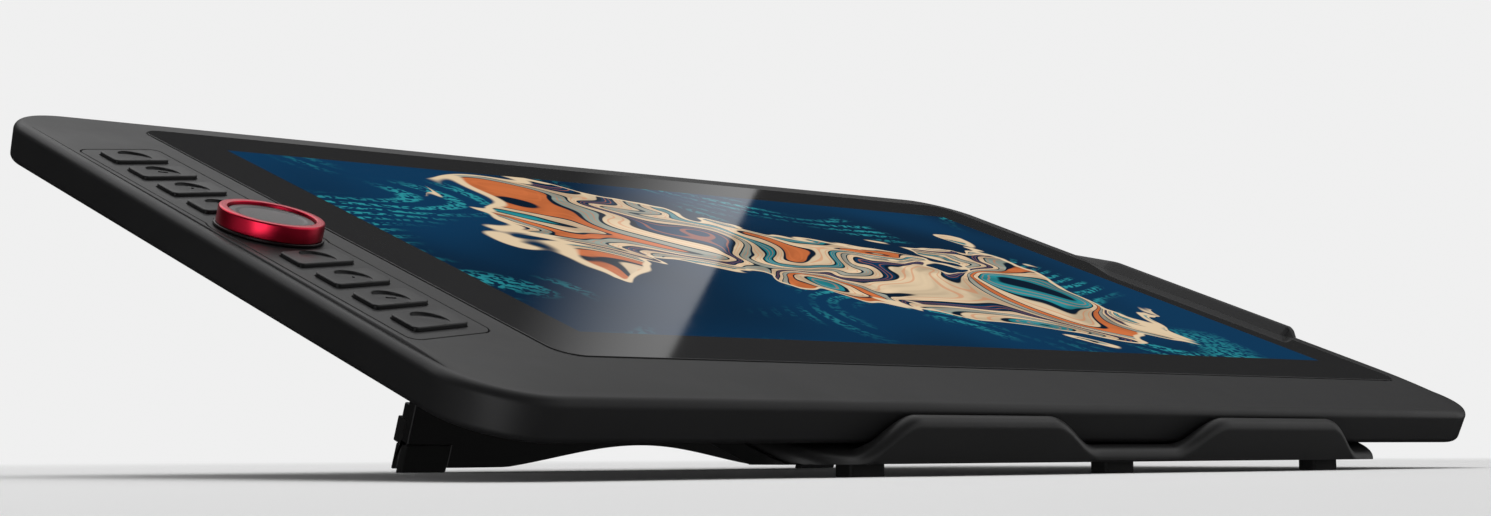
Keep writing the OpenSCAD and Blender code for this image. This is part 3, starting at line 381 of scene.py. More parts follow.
class Shell:
    """Patches of points and faces that are joined along their edges into one closed mesh."""

    def __init__(self, place):
        self.place = place
        self.points = []
        self.faces = []
        self.count = 0

    def patch(self, points, faces):
        self.points.append(np.asarray(points, float).reshape(-1, 3))
        self.faces += [[i + self.count for i in face] for face in faces]
        self.count += len(self.points[-1])

    def grid(self, rows, closed=True):
        """Quads between neighbouring rows, whose first and last points are joined when closed."""
        index = np.arange(rows.shape[0] * rows.shape[1]).reshape(rows.shape[:2])
        if closed:
            index = np.hstack([index, index[:, :1]])
        quads = np.stack([index[:-1, :-1], index[:-1, 1:], index[1:, 1:], index[1:, :-1]], -1)
        self.patch(rows, quads.reshape(-1, 4).tolist())

    def cap(self, ring):
        """One flat face."""
        self.patch(ring, [range(len(ring))])

    def fill(self, *loops):
        """A flat face with holes: the first loop is its edge, the others are the holes."""
        flat = [[Vector((p[0], p[1], 0.0)) for p in loop] for loop in loops]
        self.patch(np.concatenate(loops), tessellate_polygon(flat))

    def capped(self, rows, closed=True):
        """A grid with a flat face at its first and its last row."""
        self.grid(rows, closed)
        self.cap(rows[0])
        self.cap(rows[-1])

    def block(self, outline, profile):
        """A swept line closed by a flat face at each end."""
        self.capped(swept(outline, profile))

    def mesh(self, name, sharp=32.0):
        """The joined mesh, smooth but for edges sharper than an angle in degrees."""
        mesh = bpy.data.meshes.new(name)
        mesh.from_pydata(self.place(np.concatenate(self.points)), [], self.faces)
        shape = bmesh.new()
        shape.from_mesh(mesh)
        bmesh.ops.remove_doubles(shape, verts=shape.verts, dist=1e-6)
        bmesh.ops.recalc_face_normals(shape, faces=shape.faces)
        shape.to_mesh(mesh)
        shape.free()
        smooth(mesh, sharp)
        return mesh


def smooth(mesh, sharp):
    """Smooth shading with sharp edges past an angle in degrees."""
    mesh.polygons.foreach_set("use_smooth", np.ones(len(mesh.polygons), bool))
    mesh.set_sharp_from_angle(angle=math.radians(sharp))


def carve(obj, cutter, sharp=32.0):
    """Cuts one closed shell out of a piece and keeps the result as the piece's mesh."""
    tool = bpy.data.objects.new("cutter", cutter.mesh("cutter"))
    bpy.context.scene.collection.objects.link(tool)
    cut = obj.modifiers.new("cut", "BOOLEAN")
    cut.operation = "DIFFERENCE"
    cut.solver = "EXACT"
    cut.object = tool
    bpy.context.view_layer.update()
    made = bpy.data.meshes.new_from_object(obj.evaluated_get(bpy.context.evaluated_depsgraph_get()))
    obj.modifiers.remove(cut)
    spent = obj.data
    obj.data = made
    bpy.data.meshes.remove(spent)
    bpy.data.objects.remove(tool)
    smooth(made, sharp)


def piece(name, shell, material, body, nodes, sharp=32.0):
    """A finished piece that rides on a body and stands for its nodes."""
    obj = bpy.data.objects.new(name, shell.mesh(name, sharp))
    bpy.context.scene.collection.objects.link(obj)
    obj.data.materials.append(material)
    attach(obj, body)
    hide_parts(*nodes)
    return obj


def bevel(obj, width, segments=3, angle=35.0):
    """Rounds a piece's sharp edges."""
    soft = obj.modifiers.new("soft_edges", "BEVEL")
    soft.width = width
    soft.segments = segments
    soft.limit_method = "ANGLE"
    soft.angle_limit = math.radians(angle)
    soft.harden_normals = True


def soften_node(name, width):
    """Joins a solid's triangles into whole faces and rounds its edges, with modifiers alone."""
    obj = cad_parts[name]
    weld = obj.modifiers.new("weld", "WELD")
    weld.merge_threshold = 1e-6
    whole = obj.modifiers.new("whole_faces", "DECIMATE")
    whole.decimate_type = "DISSOLVE"
    whole.angle_limit = math.radians(0.5)
    soft = obj.modifiers.new("soft_edges", "BEVEL")
    soft.width = width
    soft.segments = 2
    soft.limit_method = "ANGLE"
    soft.angle_limit = math.radians(40.0)


# Materials


def add(tree, kind, inputs=None, **settings):
    """A node with its settings, and its sockets set or linked."""
    made = tree.nodes.new(kind)
    for name, value in settings.items():
        setattr(made, name, value)
    for name, value in (inputs or {}).items():
        if isinstance(value, bpy.types.NodeSocket):
            tree.links.new(value, made.inputs[name])
        else:
            made.inputs[name].default_value = value
    return made


def math_node(tree, operation, a, b=0.0, clamp=False):
    """The output of a Math node."""
    return add(tree, "ShaderNodeMath", {0: a, 1: b}, operation=operation, use_clamp=clamp).outputs[0]


def remap(tree, value, low, high, to_low=0.0, to_high=1.0):
    """The output of a smooth Map Range node."""
    inputs = {"Value": value, "From Min": low, "From Max": high, "To Min": to_low, "To Max": to_high}
    return add(tree, "ShaderNodeMapRange", inputs, interpolation_type="SMOOTHSTEP").outputs["Result"]


def mix(tree, share, a, b, blend="MIX"):
    """The output of a colour Mix node."""
    made = add(tree, "ShaderNodeMix", data_type="RGBA", blend_type=blend)
    for socket, value in zip((made.inputs[0], made.inputs[6], made.inputs[7]), (share, a, b)):
        if isinstance(value, bpy.types.NodeSocket):
            tree.links.new(value, socket)
        else:
            socket.default_value = value
    return made.outputs[2]


def rgba(colour):
    return (*colour, 1.0)


def new_group(name, inputs, outputs):
    """An empty shader group with named sockets."""
    tree = bpy.data.node_groups.new(name, "ShaderNodeTree")
    for label, kind, value in inputs:
        socket = tree.interface.new_socket(label, in_out="INPUT", socket_type=kind)
        if value is not None:
            socket.default_value = value
    for label, kind in outputs:
        tree.interface.new_socket(label, in_out="OUTPUT", socket_type=kind)
    return tree, tree.nodes.new("NodeGroupInput").outputs, tree.nodes.new("NodeGroupOutput").inputs


def moulded_skin():
    """Moulded plastic or rubber: colour that drifts a little, handled patches with more shine, fine grain."""
    name = "moulded_skin"
    if name in bpy.data.node_groups:
        return bpy.data.node_groups[name]
    tree, given, out = new_group(
        name,
        [
            ("Colour", "NodeSocketColor", (0.03, 0.03, 0.03, 1.0)),
            ("Drift", "NodeSocketFloat", 0.12),
            ("Roughness", "NodeSocketFloat", 0.45),
            ("Handling", "NodeSocketFloat", 0.08),
            ("Grain", "NodeSocketFloat", 5200.0),
        ],
        [("Colour", "NodeSocketColor"), ("Roughness", "NodeSocketFloat"), ("Height", "NodeSocketFloat")],
    )
    place = add(tree, "ShaderNodeTexCoord").outputs["Object"]
    broad = add(tree, "ShaderNodeTexNoise", {"Vector": place, "Scale": 14.0, "Detail": 4.0, "Roughness": 0.6})
    fine = add(tree, "ShaderNodeTexNoise", {"Vector": place, "Scale": given["Grain"], "Detail": 2.0})
    low = math_node(tree, "SUBTRACT", 1.0, given["Drift"])
    high = math_node(tree, "ADD", 1.0, given["Drift"])
    gain = remap(tree, broad.outputs[0], 0.3, 0.7, low, high)
    scaled = add(tree, "ShaderNodeVectorMath", {0: given["Colour"], "Scale": gain}, operation="SCALE")
    tree.links.new(scaled.outputs[0], out["Colour"])
    smooth_low = math_node(tree, "SUBTRACT", given["Roughness"], given["Handling"])
    smooth_high = math_node(tree, "ADD", given["Roughness"], given["Handling"])
    tree.links.new(remap(tree, broad.outputs[0], 0.35, 0.65, smooth_low, smooth_high), out["Roughness"])
    tree.links.new(fine.outputs[0], out["Height"])
    return tree


def drawn_lines():
    """Metal drawn along one way: streaks that shift its shade and its roughness."""
    name = "drawn_lines"
    if name in bpy.data.node_groups:
        return bpy.data.node_groups[name]
    tree, given, out = new_group(
        name,
        [
            ("Colour", "NodeSocketColor", (0.5, 0.5, 0.5, 1.0)),
            ("Roughness", "NodeSocketFloat", 0.3),
            ("Stretch", "NodeSocketVector", (40.0, 900.0, 900.0)),
        ],
        [("Colour", "NodeSocketColor"), ("Roughness", "NodeSocketFloat"), ("Height", "NodeSocketFloat")],
    )
    place = add(tree, "ShaderNodeTexCoord").outputs["Object"]
    along = add(tree, "ShaderNodeVectorMath", {0: place, 1: given["Stretch"]}, operation="MULTIPLY")
    streak = noise(tree, along.outputs[0], 1.0, 3.0).outputs[0]
    gain = remap(tree, streak, 0.25, 0.75, 0.85, 1.12)
    scaled = add(tree, "ShaderNodeVectorMath", {0: given["Colour"], "Scale": gain}, operation="SCALE")
    tree.links.new(scaled.outputs[0], out["Colour"])
    shade = math_node(tree, "MULTIPLY", given["Roughness"], remap(tree, streak, 0.2, 0.8, 0.75, 1.3))
    tree.links.new(shade, out["Roughness"])
    tree.links.new(streak, out["Height"])
    return tree


def blank_material(name):
    """An empty material with its surface shader."""
    material = bpy.data.materials.new(name)
    material.use_nodes = True
    tree = material.node_tree
    tree.nodes.clear()
    shader = add(tree, "ShaderNodeBsdfPrincipled")
    out = add(tree, "ShaderNodeOutputMaterial")
    tree.links.new(shader.outputs[0], out.inputs[0])
    return material, tree, shader


def moulded(name, colour, rough=0.45, handling=0.03, drift=0.08, grain=5200.0, bump=0.12, specular=0.14):
    """Moulded plastic or rubber in one colour."""
    if name in bpy.data.materials:
        return bpy.data.materials[name]
    material, tree, shader = blank_material(name)
    skin = add(tree, "ShaderNodeGroup", node_tree=moulded_skin())
    given = {"Colour": rgba(colour), "Drift": drift, "Roughness": rough, "Handling": handling, "Grain": grain}
    for label, value in given.items():
        skin.inputs[label].default_value = value
    height = skin.outputs["Height"]
    relief = add(tree, "ShaderNodeBump", {"Height": height, "Strength": bump, "Distance": 0.00004})
    tree.links.new(skin.outputs["Colour"], shader.inputs["Base Color"])
    tree.links.new(skin.outputs["Roughness"], shader.inputs["Roughness"])
    tree.links.new(relief.outputs[0], shader.inputs["Normal"])
    shader.inputs["Specular IOR Level"].default_value = specular
    return material


def drawn(name, colour, rough, stretch=(40.0, 900.0, 900.0), bump=0.05):
    """Drawn or turned metal in one colour."""
    if name in bpy.data.materials:
        return bpy.data.materials[name]
    material, tree, shader = blank_material(name)
    lines = add(tree, "ShaderNodeGroup", node_tree=drawn_lines())
    lines.inputs["Colour"].default_value = rgba(colour)
    lines.inputs["Roughness"].default_value = rough
    lines.inputs["Stretch"].default_value = stretch
    height = lines.outputs["Height"]
    relief = add(tree, "ShaderNodeBump", {"Height": height, "Strength": bump, "Distance": 0.00003})
    tree.links.new(lines.outputs["Colour"], shader.inputs["Base Color"])
    tree.links.new(lines.outputs["Roughness"], shader.inputs["Roughness"])
    tree.links.new(relief.outputs[0], shader.inputs["Normal"])
    shader.inputs["Metallic"].default_value = 1.0
    return material


def on_axes(tree, shift):
    """Object coordinates turned into the tablet's own axes, from a point of the tablet."""
    origin = ON_TABLET(np.array([shift]))[0]
    back = Matrix.Rotation(-TILT, 3, "X") @ Vector(-origin)
    place = add(tree, "ShaderNodeTexCoord").outputs["Object"]
    turn = add(tree, "ShaderNodeMapping", {"Vector": place, "Location": back, "Rotation": (-TILT, 0.0, 0.0)})
    return turn.outputs[0]


def noise(tree, place, scale, detail=1.0):
    """A Noise Texture node."""
    return add(tree, "ShaderNodeTexNoise", {"Vector": place, "Scale": scale, "Detail": detail})


def bent_by(tree, place, scale, reach, detail=1.0):
    """A place that smooth noise has pushed sideways by up to a reach."""
    push = add(
        tree, "ShaderNodeVectorMath", {0: noise(tree, place, scale, detail).outputs[1], 1: (0.5, 0.5, 0.5)},
        operation="SUBTRACT",
    )
    inputs = {0: push.outputs[0], 1: (reach, reach, 0.0), 2: place}
    return add(tree, "ShaderNodeVectorMath", inputs, operation="MULTIPLY_ADD").outputs[0]


def near_line(tree, value, count, width):
    """1 near the borders between equal steps of a value, 0 between them."""
    step = math_node(tree, "FRACT", math_node(tree, "MULTIPLY", value, count))
    away = math_node(tree, "MINIMUM", step, math_node(tree, "SUBTRACT", 1.0, step))
    return remap(tree, away, width * 0.5, width, 1.0, 0.0)


def marbled(tree, own, x, y, finish):
    """Agate bands with inked borders that drift across deep blue, and broken teal currents beside them."""
    bent = bent_by(tree, bent_by(tree, own, 9.0, 0.16), 30.0, 0.03)
    field = remap(tree, noise(tree, bent, 13.0).outputs[0], 0.22, 0.78)
    shades = [
        finish.sage, finish.cream, finish.rust, finish.cream, finish.teal, finish.cream, finish.sage,
        finish.cream, finish.night, finish.cream, finish.sage, finish.rust, finish.cream, finish.teal,
    ]
    ramp = add(tree, "ShaderNodeValToRGB", {0: field})
    ramp.color_ramp.interpolation = "CONSTANT"
    ramp.color_ramp.elements.remove(ramp.color_ramp.elements[1])
    for i, colour in enumerate(shades):
        stop = ramp.color_ramp.elements[0] if i == 0 else ramp.color_ramp.elements.new(i / len(shades))
        stop.color = rgba(colour)
    shade = remap(tree, noise(tree, bent, 60.0, 3.0).outputs[0], 0.3, 0.7, 0.62, 1.08)
    tinted = add(tree, "ShaderNodeVectorMath", {0: ramp.outputs[0], "Scale": shade}, operation="SCALE")
    ink = [c * 0.25 for c in finish.night]
    hair = math_node(tree, "MULTIPLY", near_line(tree, field, 3 * len(shades), 0.16), 0.45)
    inked = mix(tree, hair, tinted.outputs[0], rgba(finish.rust))
    inked = mix(tree, near_line(tree, field, len(shades), 0.13), inked, rgba(ink))

    # Where the bands lie: a swaying drift from corner to corner
    sway = math_node(tree, "MULTIPLY", math_node(tree, "SINE", math_node(tree, "MULTIPLY", x, 21.0)), -0.03)
    rag = math_node(tree, "SUBTRACT", noise(tree, bent, 20.0, 2.0).outputs[0], 0.5)
    rag = math_node(tree, "MULTIPLY", rag, 0.13)
    off = math_node(tree, "ABSOLUTE", math_node(tree, "ADD", math_node(tree, "SUBTRACT", y, sway), rag))
    far = math_node(tree, "ABSOLUTE", math_node(tree, "ADD", math_node(tree, "SUBTRACT", x, 0.012), rag))
    off = math_node(tree, "DIVIDE", off, 0.05)
    far = math_node(tree, "DIVIDE", far, 0.115)
    reach = math_node(tree, "MAXIMUM", off, far)
    drift = remap(tree, reach, 0.985, 1.015, 1.0, 0.0)
    past = math_node(tree, "ABSOLUTE", math_node(tree, "SUBTRACT", reach, 1.0))
    rim = remap(tree, past, 0.02, 0.05, 1.0, 0.0)

    # The ground: deep blue, lighter in places, with currents of fine teal lines
    pool = remap(tree, noise(tree, own, 8.0).outputs[0], 0.35, 0.65)
    ground = mix(tree, pool, rgba([c * 0.45 for c in finish.night]), rgba(finish.night))
    flow = noise(tree, bent_by(tree, own, 7.0, 0.1), 4.5).outputs[0]
    where = remap(tree, noise(tree, own, 13.0).outputs[0], 0.5, 0.62)
    spark = remap(tree, noise(tree, own, 420.0).outputs[0], 0.42, 0.55)
    current = math_node(tree, "MULTIPLY", near_line(tree, flow, 52.0, 0.3), where)
    current = math_node(tree, "MULTIPLY", current, spark)
    ground = mix(tree, current, ground, rgba(finish.teal))
    picture = mix(tree, drift, ground, inked)
    return mix(tree, rim, picture, rgba(finish.cream))


def screen_glass(sizes, finish):
    """Etched glass bonded on a lit panel: a black border, and a picture of marbled drifts on deep blue."""
    material, tree, shader = blank_material("lit_glass")
    top = (sizes.glass_x, sizes.glass_y, sizes.thickness)
    own = on_axes(tree, top)
    split = add(tree, "ShaderNodeSeparateXYZ", {0: own})
    x, y = split.outputs[0], split.outputs[1]
    masks = []
    for way, size in ((x, sizes.picture_w), (y, sizes.picture_d)):
        away = math_node(tree, "ABSOLUTE", way)
        masks.append(remap(tree, away, size / 2 - 2e-4, size / 2, 1.0, 0.0))
    inside = math_node(tree, "MULTIPLY", *masks)

    picture = marbled(tree, own, x, y, finish)
    lit = mix(tree, inside, (0.0, 0.0, 0.0, 1.0), picture)
    tree.links.new(lit, shader.inputs["Emission Color"])
    shader.inputs["Emission Strength"].default_value = 1.0

    tree.links.new(mix(tree, inside, rgba(finish.border), (0.0, 0.0, 0.0, 1.0)), shader.inputs["Base Color"])
    etch = add(tree, "ShaderNodeTexNoise", {"Vector": own, "Scale": 9000.0, "Detail": 1.0})
    touch = add(tree, "ShaderNodeTexNoise", {"Vector": own, "Scale": 20.0, "Detail": 4.0})
    tree.links.new(remap(tree, touch.outputs[0], 0.35, 0.7, 0.03, 0.05), shader.inputs["Roughness"])
    relief = add(tree, "ShaderNodeBump", {"Height": etch.outputs[0], "Strength": 0.04, "Distance": 0.00001})
    tree.links.new(relief.outputs[0], shader.inputs["Normal"])
    shader.inputs["Specular IOR Level"].default_value = 0.4
    return material


def spun(name, colour, rough, centre, metallic):
    """A turned face: fine rings about the dial's axis shift its roughness and relief."""
    material, tree, shader = blank_material(name)
    own = on_axes(tree, centre)
    split = add(tree, "ShaderNodeSeparateXYZ", {0: own})
    plan = add(tree, "ShaderNodeCombineXYZ", {0: split.outputs[0], 1: split.outputs[1]})
    radius = add(tree, "ShaderNodeVectorMath", {0: plan.outputs[0]}, operation="LENGTH").outputs["Value"]
    fine = math_node(tree, "MULTIPLY", radius, 5200.0)
    key = add(tree, "ShaderNodeCombineXYZ", {0: fine, 1: split.outputs[2]})
    rings = noise(tree, key.outputs[0], 1.0, 2.0).outputs[0]
    gain = remap(tree, rings, 0.25, 0.75, 0.88, 1.12)
    shade = add(tree, "ShaderNodeVectorMath", {0: colour, "Scale": gain}, operation="SCALE")
    tree.links.new(shade.outputs[0], shader.inputs["Base Color"])
    tree.links.new(remap(tree, rings, 0.2, 0.8, rough * 0.8, rough * 1.25), shader.inputs["Roughness"])
    relief = add(tree, "ShaderNodeBump", {"Height": rings, "Strength": 0.06, "Distance": 0.00003})
    tree.links.new(relief.outputs[0], shader.inputs["Normal"])
    shader.inputs["Metallic"].default_value = metallic
    return material


# Tablet pieces


class PEN_OT_case(Operator):
    """Case of the tablet: walls square to its face, round edges and two recesses"""

    bl_idname = "pen.case"
    bl_label = "Case"

    def execute(self, context):
        t = context.scene.pen_tablet
        ledge, hole, cover = 0.0031, 0.0115, 0.0088
        cover_t = 0.0016
        top = t.thickness
        body = rounded(t.width, t.depth, t.corner, steps=24)
        profile = softened(
            [
                (t.wall, t.face, 0), (t.wall, ledge, 0), (hole, ledge, 0), (hole, cover_t, 0),
                (cover, cover_t, 0), (cover, 0, SOFT), (t.taper, 0, t.under), (0, t.widest, 0),
                (0, top, t.edge), (t.edge + 0.0005, top, 0),
            ],
            steps=9,
        )
        rings, fall = crowned(t, swept(body, profile))
        glass = rounded(t.glass_w + 2 * t.gap, t.glass_d + 2 * t.gap, t.glass_r + t.gap, t.glass_x, t.glass_y)
        inner = rounded(
            t.glass_w - 2 * t.ledge_w, t.glass_d - 2 * t.ledge_w, t.glass_r, t.glass_x, t.glass_y
        )
        well = swept(glass, [(-SOFT, top), (0, top - SOFT), (0, t.ledge_z)])
        well = np.concatenate([well, [level(inner, t.ledge_z), level(inner, t.face)]])
        recess = swept(panel_outline(t, t.gap), [(-SOFT / 2, top), (0, top - SOFT / 2), (0, t.panel_z)])
        shell = Shell(ON_TABLET)
        shell.grid(rings)
        shell.grid(fall)
        shell.fill(fall[-1], well[0], recess[0])
        shell.grid(well)
        shell.grid(recess)
        shell.cap(recess[-1])
        shell.fill(rings[0], well[-1])
        finish = context.scene.pen_finish
        obj = piece(
            "tablet_case", shell, moulded("satin_case", finish.case), "tablet", ["top_case"]
        )
        slots = Shell(ON_TABLET)
        half = (t.socket_w - t.socket_h) / 2
        room, socket_deep, button_deep, past = 0.0003, 0.012, 0.0065, 0.002
        r = t.socket_h / 2 + room
        ends = np.concatenate([arc(half, 0, r, -90, 180, 16), arc(-half, 0, r, 90, 180, 16)])
        for y in (-t.socket_y, t.socket_y):
            for_wall = [
                np.column_stack([np.full(len(ends), x), ends[:, 0] + y, ends[:, 1] + t.socket_z])
                for x in (t.width / 2 - socket_deep, t.width / 2 + past)
            ]
            slots.capped(np.array(for_wall))
        button = rounded(t.power_w, t.power_h, t.power_h / 2 - 1e-5, t.power_x, t.power_z)
        through = [
            np.column_stack([button[:, 0], np.full(len(button), y), button[:, 1]])
            for y in (t.depth / 2 - button_deep, t.depth / 2 + past)
        ]
        slots.capped(np.array(through))
        carve(obj, slots)
        return {"FINISHED"}


def crowned(t, rings):
    """The case's rings with their upper part drawn down, and the rows of the face that falls away to
    them: the drop at a point of the edge grows with the square of its distance to the level face, and
    fades with the square of the way in."""
    side, front, foot = t.crown_side, t.crown_w, 0.005
    plan = (t.width - 2 * side, t.depth - side - front, t.corner - side)
    inner = rounded(*plan, 0.0, (front - side) / 2, steps=24)
    outer = rings[-1, :, :2]
    reach = np.linalg.norm(inner - outer, axis=1)
    drop = t.crown * ((reach - reach.min()) / np.ptp(reach)) ** 2
    rings = rings.copy()
    rings[:, :, 2] -= drop * np.clip((rings[:, :, 2] - foot) / (t.thickness - foot), 0, 1)
    way = np.linspace(0, 1, 10)[:, None]
    rows = outer[None] + way[:, :, None] * (inner - outer)[None]
    tall = t.thickness - drop * (1 - way) ** 2
    return rings, np.concatenate([rows, tall[:, :, None]], 2)


def panel_outline(t, grow):
    """Outline of the key panel: a rectangle with slanted ends that bulges round the dial."""
    w, d, r = t.panel_w + 2 * grow, t.panel_d + 2 * grow, t.panel_r + grow
    bulge = t.bulge_r + grow
    reach = math.degrees(math.acos(w / 2 / bulge))
    ends = sheared(rounded(w, d, r)).reshape(4, -1, 2)
    right = arc(0, 0, bulge, -reach, 2 * reach, 16)
    left = arc(0, 0, bulge, 180 - reach, 2 * reach, 16)
    return np.concatenate([right, ends[0], ends[1], left, ends[2], ends[3]]) + np.array([t.key_x, 0.0])


def key_outline(t, y, grow):
    """Outline of the key at y, grown by a margin."""
    return sheared(rounded(t.key_w + 2 * grow, t.key_d + 2 * grow, t.key_r + grow, steps=8), t.key_x, y)


def scoop(t, y):
    """Rings of a finger scoop: a round wall whose floor slopes evenly from the near rim to the far rim."""
    inward = np.array([-0.25, -0.1, 0.0, 0.06, 0.16, 0.4, 0.8, 1e3 * t.dish_r]) * 1e-3
    share = np.array([0.0, 0.04, 0.16, 0.7, 0.9, 0.98, 1.0, 1.0])
    rings = turned(np.column_stack([t.dish_r - inward, np.full(len(share), t.key_top)]), t.key_x, y, 64)
    far = 0.5 + (rings[:, :, 1] - y) / (2 * t.dish_r)
    rings[:, :, 2] -= share[:, None] * (t.dish_near + far * (t.dish_far - t.dish_near))
    return rings


class PEN_OT_screen(Operator):
    """Cover glass over the picture, with a softened edge"""

    bl_idname = "pen.screen"
    bl_label = "Screen"

    def execute(self, context):
        t = context.scene.pen_tablet
        top = t.glass_top
        outline = rounded(t.glass_w, t.glass_d, t.glass_r, t.glass_x, t.glass_y, steps=16)
        profile = softened([(0, t.glass_z, 0), (0, top, 0.2 * SOFT), (0.4 * SOFT, top, 0)], 4)
        shell = Shell(ON_TABLET)
        shell.block(outline, profile)
        material = screen_glass(t, context.scene.pen_finish)
        piece("screen_glass", shell, material, "tablet", ["cover_glass"])
        return {"FINISHED"}


class PEN_OT_keys(Operator):
    """Key panel with its openings, and the scooped keys in them"""

    bl_idname = "pen.keys"
    bl_label = "Keys"

    def execute(self, context):
        t = context.scene.pen_tablet
        finish = context.scene.pen_finish
        top = t.thickness
        soft = SOFT / 2
        seam = [(0, t.panel_z), (0, top - soft), (soft, top), (4 * soft, top)]
        rings = swept(panel_outline(t, -1.4 * t.gap), seam)
        opening = [(-soft, top), (0, top - soft), (0, t.panel_z)]
        wells = [swept(key_outline(t, y, t.key_gap), opening) for y in KEY_ROWS]
        shaft = t.shaft_r + 0.0003
        wells.append(turned([(shaft + soft, top), (shaft, top - soft), (shaft, t.panel_z)], t.key_x, 0, 32))
        shell = Shell(ON_TABLET)
        shell.grid(rings)
        shell.fill(rings[-1], *[w[0] for w in wells])
        shell.fill(rings[0], *[w[-1] for w in wells])
        for well in wells:
            shell.grid(well)
        material = moulded("satin_panel", finish.panel, 0.44)
        piece("key_panel_plate", shell, material, "tablet", ["key_panel"])
        material = moulded("satin_keys", finish.keys, 0.4)
        marks = {1: t.mark_l, 2: t.mark_w, 5: t.mark_w, 6: t.mark_l}
        for i, y in enumerate(KEY_ROWS):
            shell = Shell(ON_TABLET)
            flange = t.key_flange
            profile = softened(
                [
                    (-flange, t.key_foot, 0), (-flange, t.key_foot + 0.0007, 0), (0, t.key_foot + 0.0007, 0),
                    (0, t.key_top, 0.0004), (0.00052, t.key_top, 0),
                ],
                5,
            )
            body = swept(key_outline(t, y, 0), profile)
            shell.grid(body)
            shell.cap(body[0])
            dish = scoop(t, y)
            shell.fill(body[-1], dish[0])
            shell.grid(dish)
            if i in marks:
                base = t.key_top - (t.dish_far + t.dish_near) / 2
                high = base + 0.0003
                bar = rounded(marks[i], t.mark_w, t.mark_w / 2 - 1e-5, t.key_x, y, steps=8)
                side = [(0, base - 0.0001, 0), (0, high, 0.00018), (0.0003, high, 0)]
                shell.block(bar, softened(side, 4))
            name = f"key_{i + 1}"
            piece(f"{name}_cap", shell, material, name, [name])
        return {"FINISHED"}


class PEN_OT_dial(Operator):
    """Dial: a crimson ring round a dark cap on a dark base"""

    bl_idname = "pen.dial"
    bl_label = "Dial"

    def execute(self, context):
        t = context.scene.pen_tablet
        finish = context.scene.pen_finish
        inner = t.dial_r - t.dial_wall
        centre = (t.key_x, 0.0, t.cap_top)
        ring = softened(
            [
                (inner, t.ring_z, 0), (t.dial_r, t.ring_z, 0.0003), (t.dial_r, t.ring_top, 0.0006),
                (inner, t.ring_top, 0.0004), (inner, t.ring_z, 0),
            ]
        )
        shell = Shell(ON_TABLET)
        shell.grid(turned(ring, t.key_x, 0, 160))
        red = spun("crimson_ring", finish.dial, 0.3, centre, 0.85)
        piece("dial_ring_rim", shell, red, "dial", ["dial_ring"])
        edge = inner - t.gap
        cap = softened(
            [
                (0, t.ring_z, 0), (edge, t.ring_z, 0), (edge, t.cap_top, 0.0003),
                (edge - 0.0022, t.cap_top, 0.001), (edge - 0.003, t.cap_top - 0.00025, 0.001),
                (0, t.cap_top - 0.0004, 0),
            ]
        )
        shell = Shell(ON_TABLET)
        shell.grid(turned(cap, t.key_x, 0, 128))
        grey = spun("spun_cap", finish.cap, 0.42, centre, 0.0)
        piece("dial_cap_disc", shell, grey, "dial", ["dial_cap"])
        hub = softened(
            [
                (0, t.shaft_z, 0), (t.shaft_r, t.shaft_z, 0.0003), (t.shaft_r, t.dial_z, 0),
                (t.dial_base, t.dial_z, 0.0001), (t.dial_base, t.ring_z, 0.0002), (0, t.ring_z, 0),
            ]
        )
        shell = Shell(ON_TABLET)
        shell.grid(turned(hub, t.key_x, 0, 128))
        black = moulded("gloss_base", (0.012, 0.008, 0.009), 0.22, 0.03)
        piece("dial_base_disc", shell, black, "dial", ["dial_hub"])
        return {"FINISHED"}


class PEN_OT_ridge(Operator):
    """Raised ridge over the sockets, with a bevelled top and a long ramp at its back"""

    bl_idname = "pen.ridge"
    bl_label = "Port ridge"

    def execute(self, context):
        t = context.scene.pen_tablet
        h, b = t.ridge_h, t.ridge_bevel
        # Cross-section from the inner foot over the top to the outer foot, as (across, height)
        section = softened(
            [
                (-t.ridge_w, 0, 0), (-t.ridge_top - 2 * b, h - b, 0.001), (-t.ridge_top - b, h, 0.0012),
                (-b, h, 0.001), (0, h - b, 0.0008), (0, 0, 0),
            ]
        )
        front = -t.ridge_l / 2
        back = t.ridge_l / 2
        stations = softened(
            [
                (front, 0, 0), (front + t.ridge_nose / 2, h - b, 0.001), (front + t.ridge_nose, h, 0.002),
                (back - t.ridge_ramp, h, 0.03), (back, 0, 0),
            ],
            10,
        )
        rise = stations[:, 1] / h
        # Each station repeats the section with its heights scaled, and its foot drawn in with them
        across = np.outer(0.55 + 0.45 * np.minimum(1, rise * 1.5), section[:, 0])
        tall = t.thickness + np.outer(rise, section[:, 1])
        along = np.broadcast_to(stations[:, :1], across.shape)
        rows = np.stack([across + t.ridge_x, along, tall], -1)
        shell = Shell(ON_TABLET)
        shell.grid(rows, closed=False)
        shell.grid(rows[:, [-1, 0]], closed=False)
        material = moulded("satin_case", context.scene.pen_finish.case)
        piece("ridge_cover", shell, material, "tablet", ["port_ridge"])
        return {"FINISHED"}


class PEN_OT_tablet_feet(Operator):
    """Round rubber feet under the tablet"""

    bl_idname = "pen.tablet_feet"
    bl_label = "Tablet feet"

    def execute(self, context):
        t = context.scene.pen_tablet
        shell = Shell(ON_TABLET)
        profile = softened(
            [
                (0, 0, 0), (t.foot_r, 0, 0), (t.foot_r, -t.foot_t, 0.0006), (0.006, -t.foot_t, 0.0003),
                (0.0055, -0.0012, 0.0003), (0, -0.0012, 0),
            ]
        )
        for x in (-t.foot_x, t.foot_x):
            for y in (-t.foot_y, t.foot_y):
                shell.grid(turned(profile, x, y, 64))
        rubber = moulded("black_rubber", context.scene.pen_finish.rubber, 0.7, grain=3000.0, bump=0.3)
        piece("tablet_feet_discs", shell, rubber, "tablet", ["tablet_feet"])
        return {"FINISHED"}


# Stand pieces


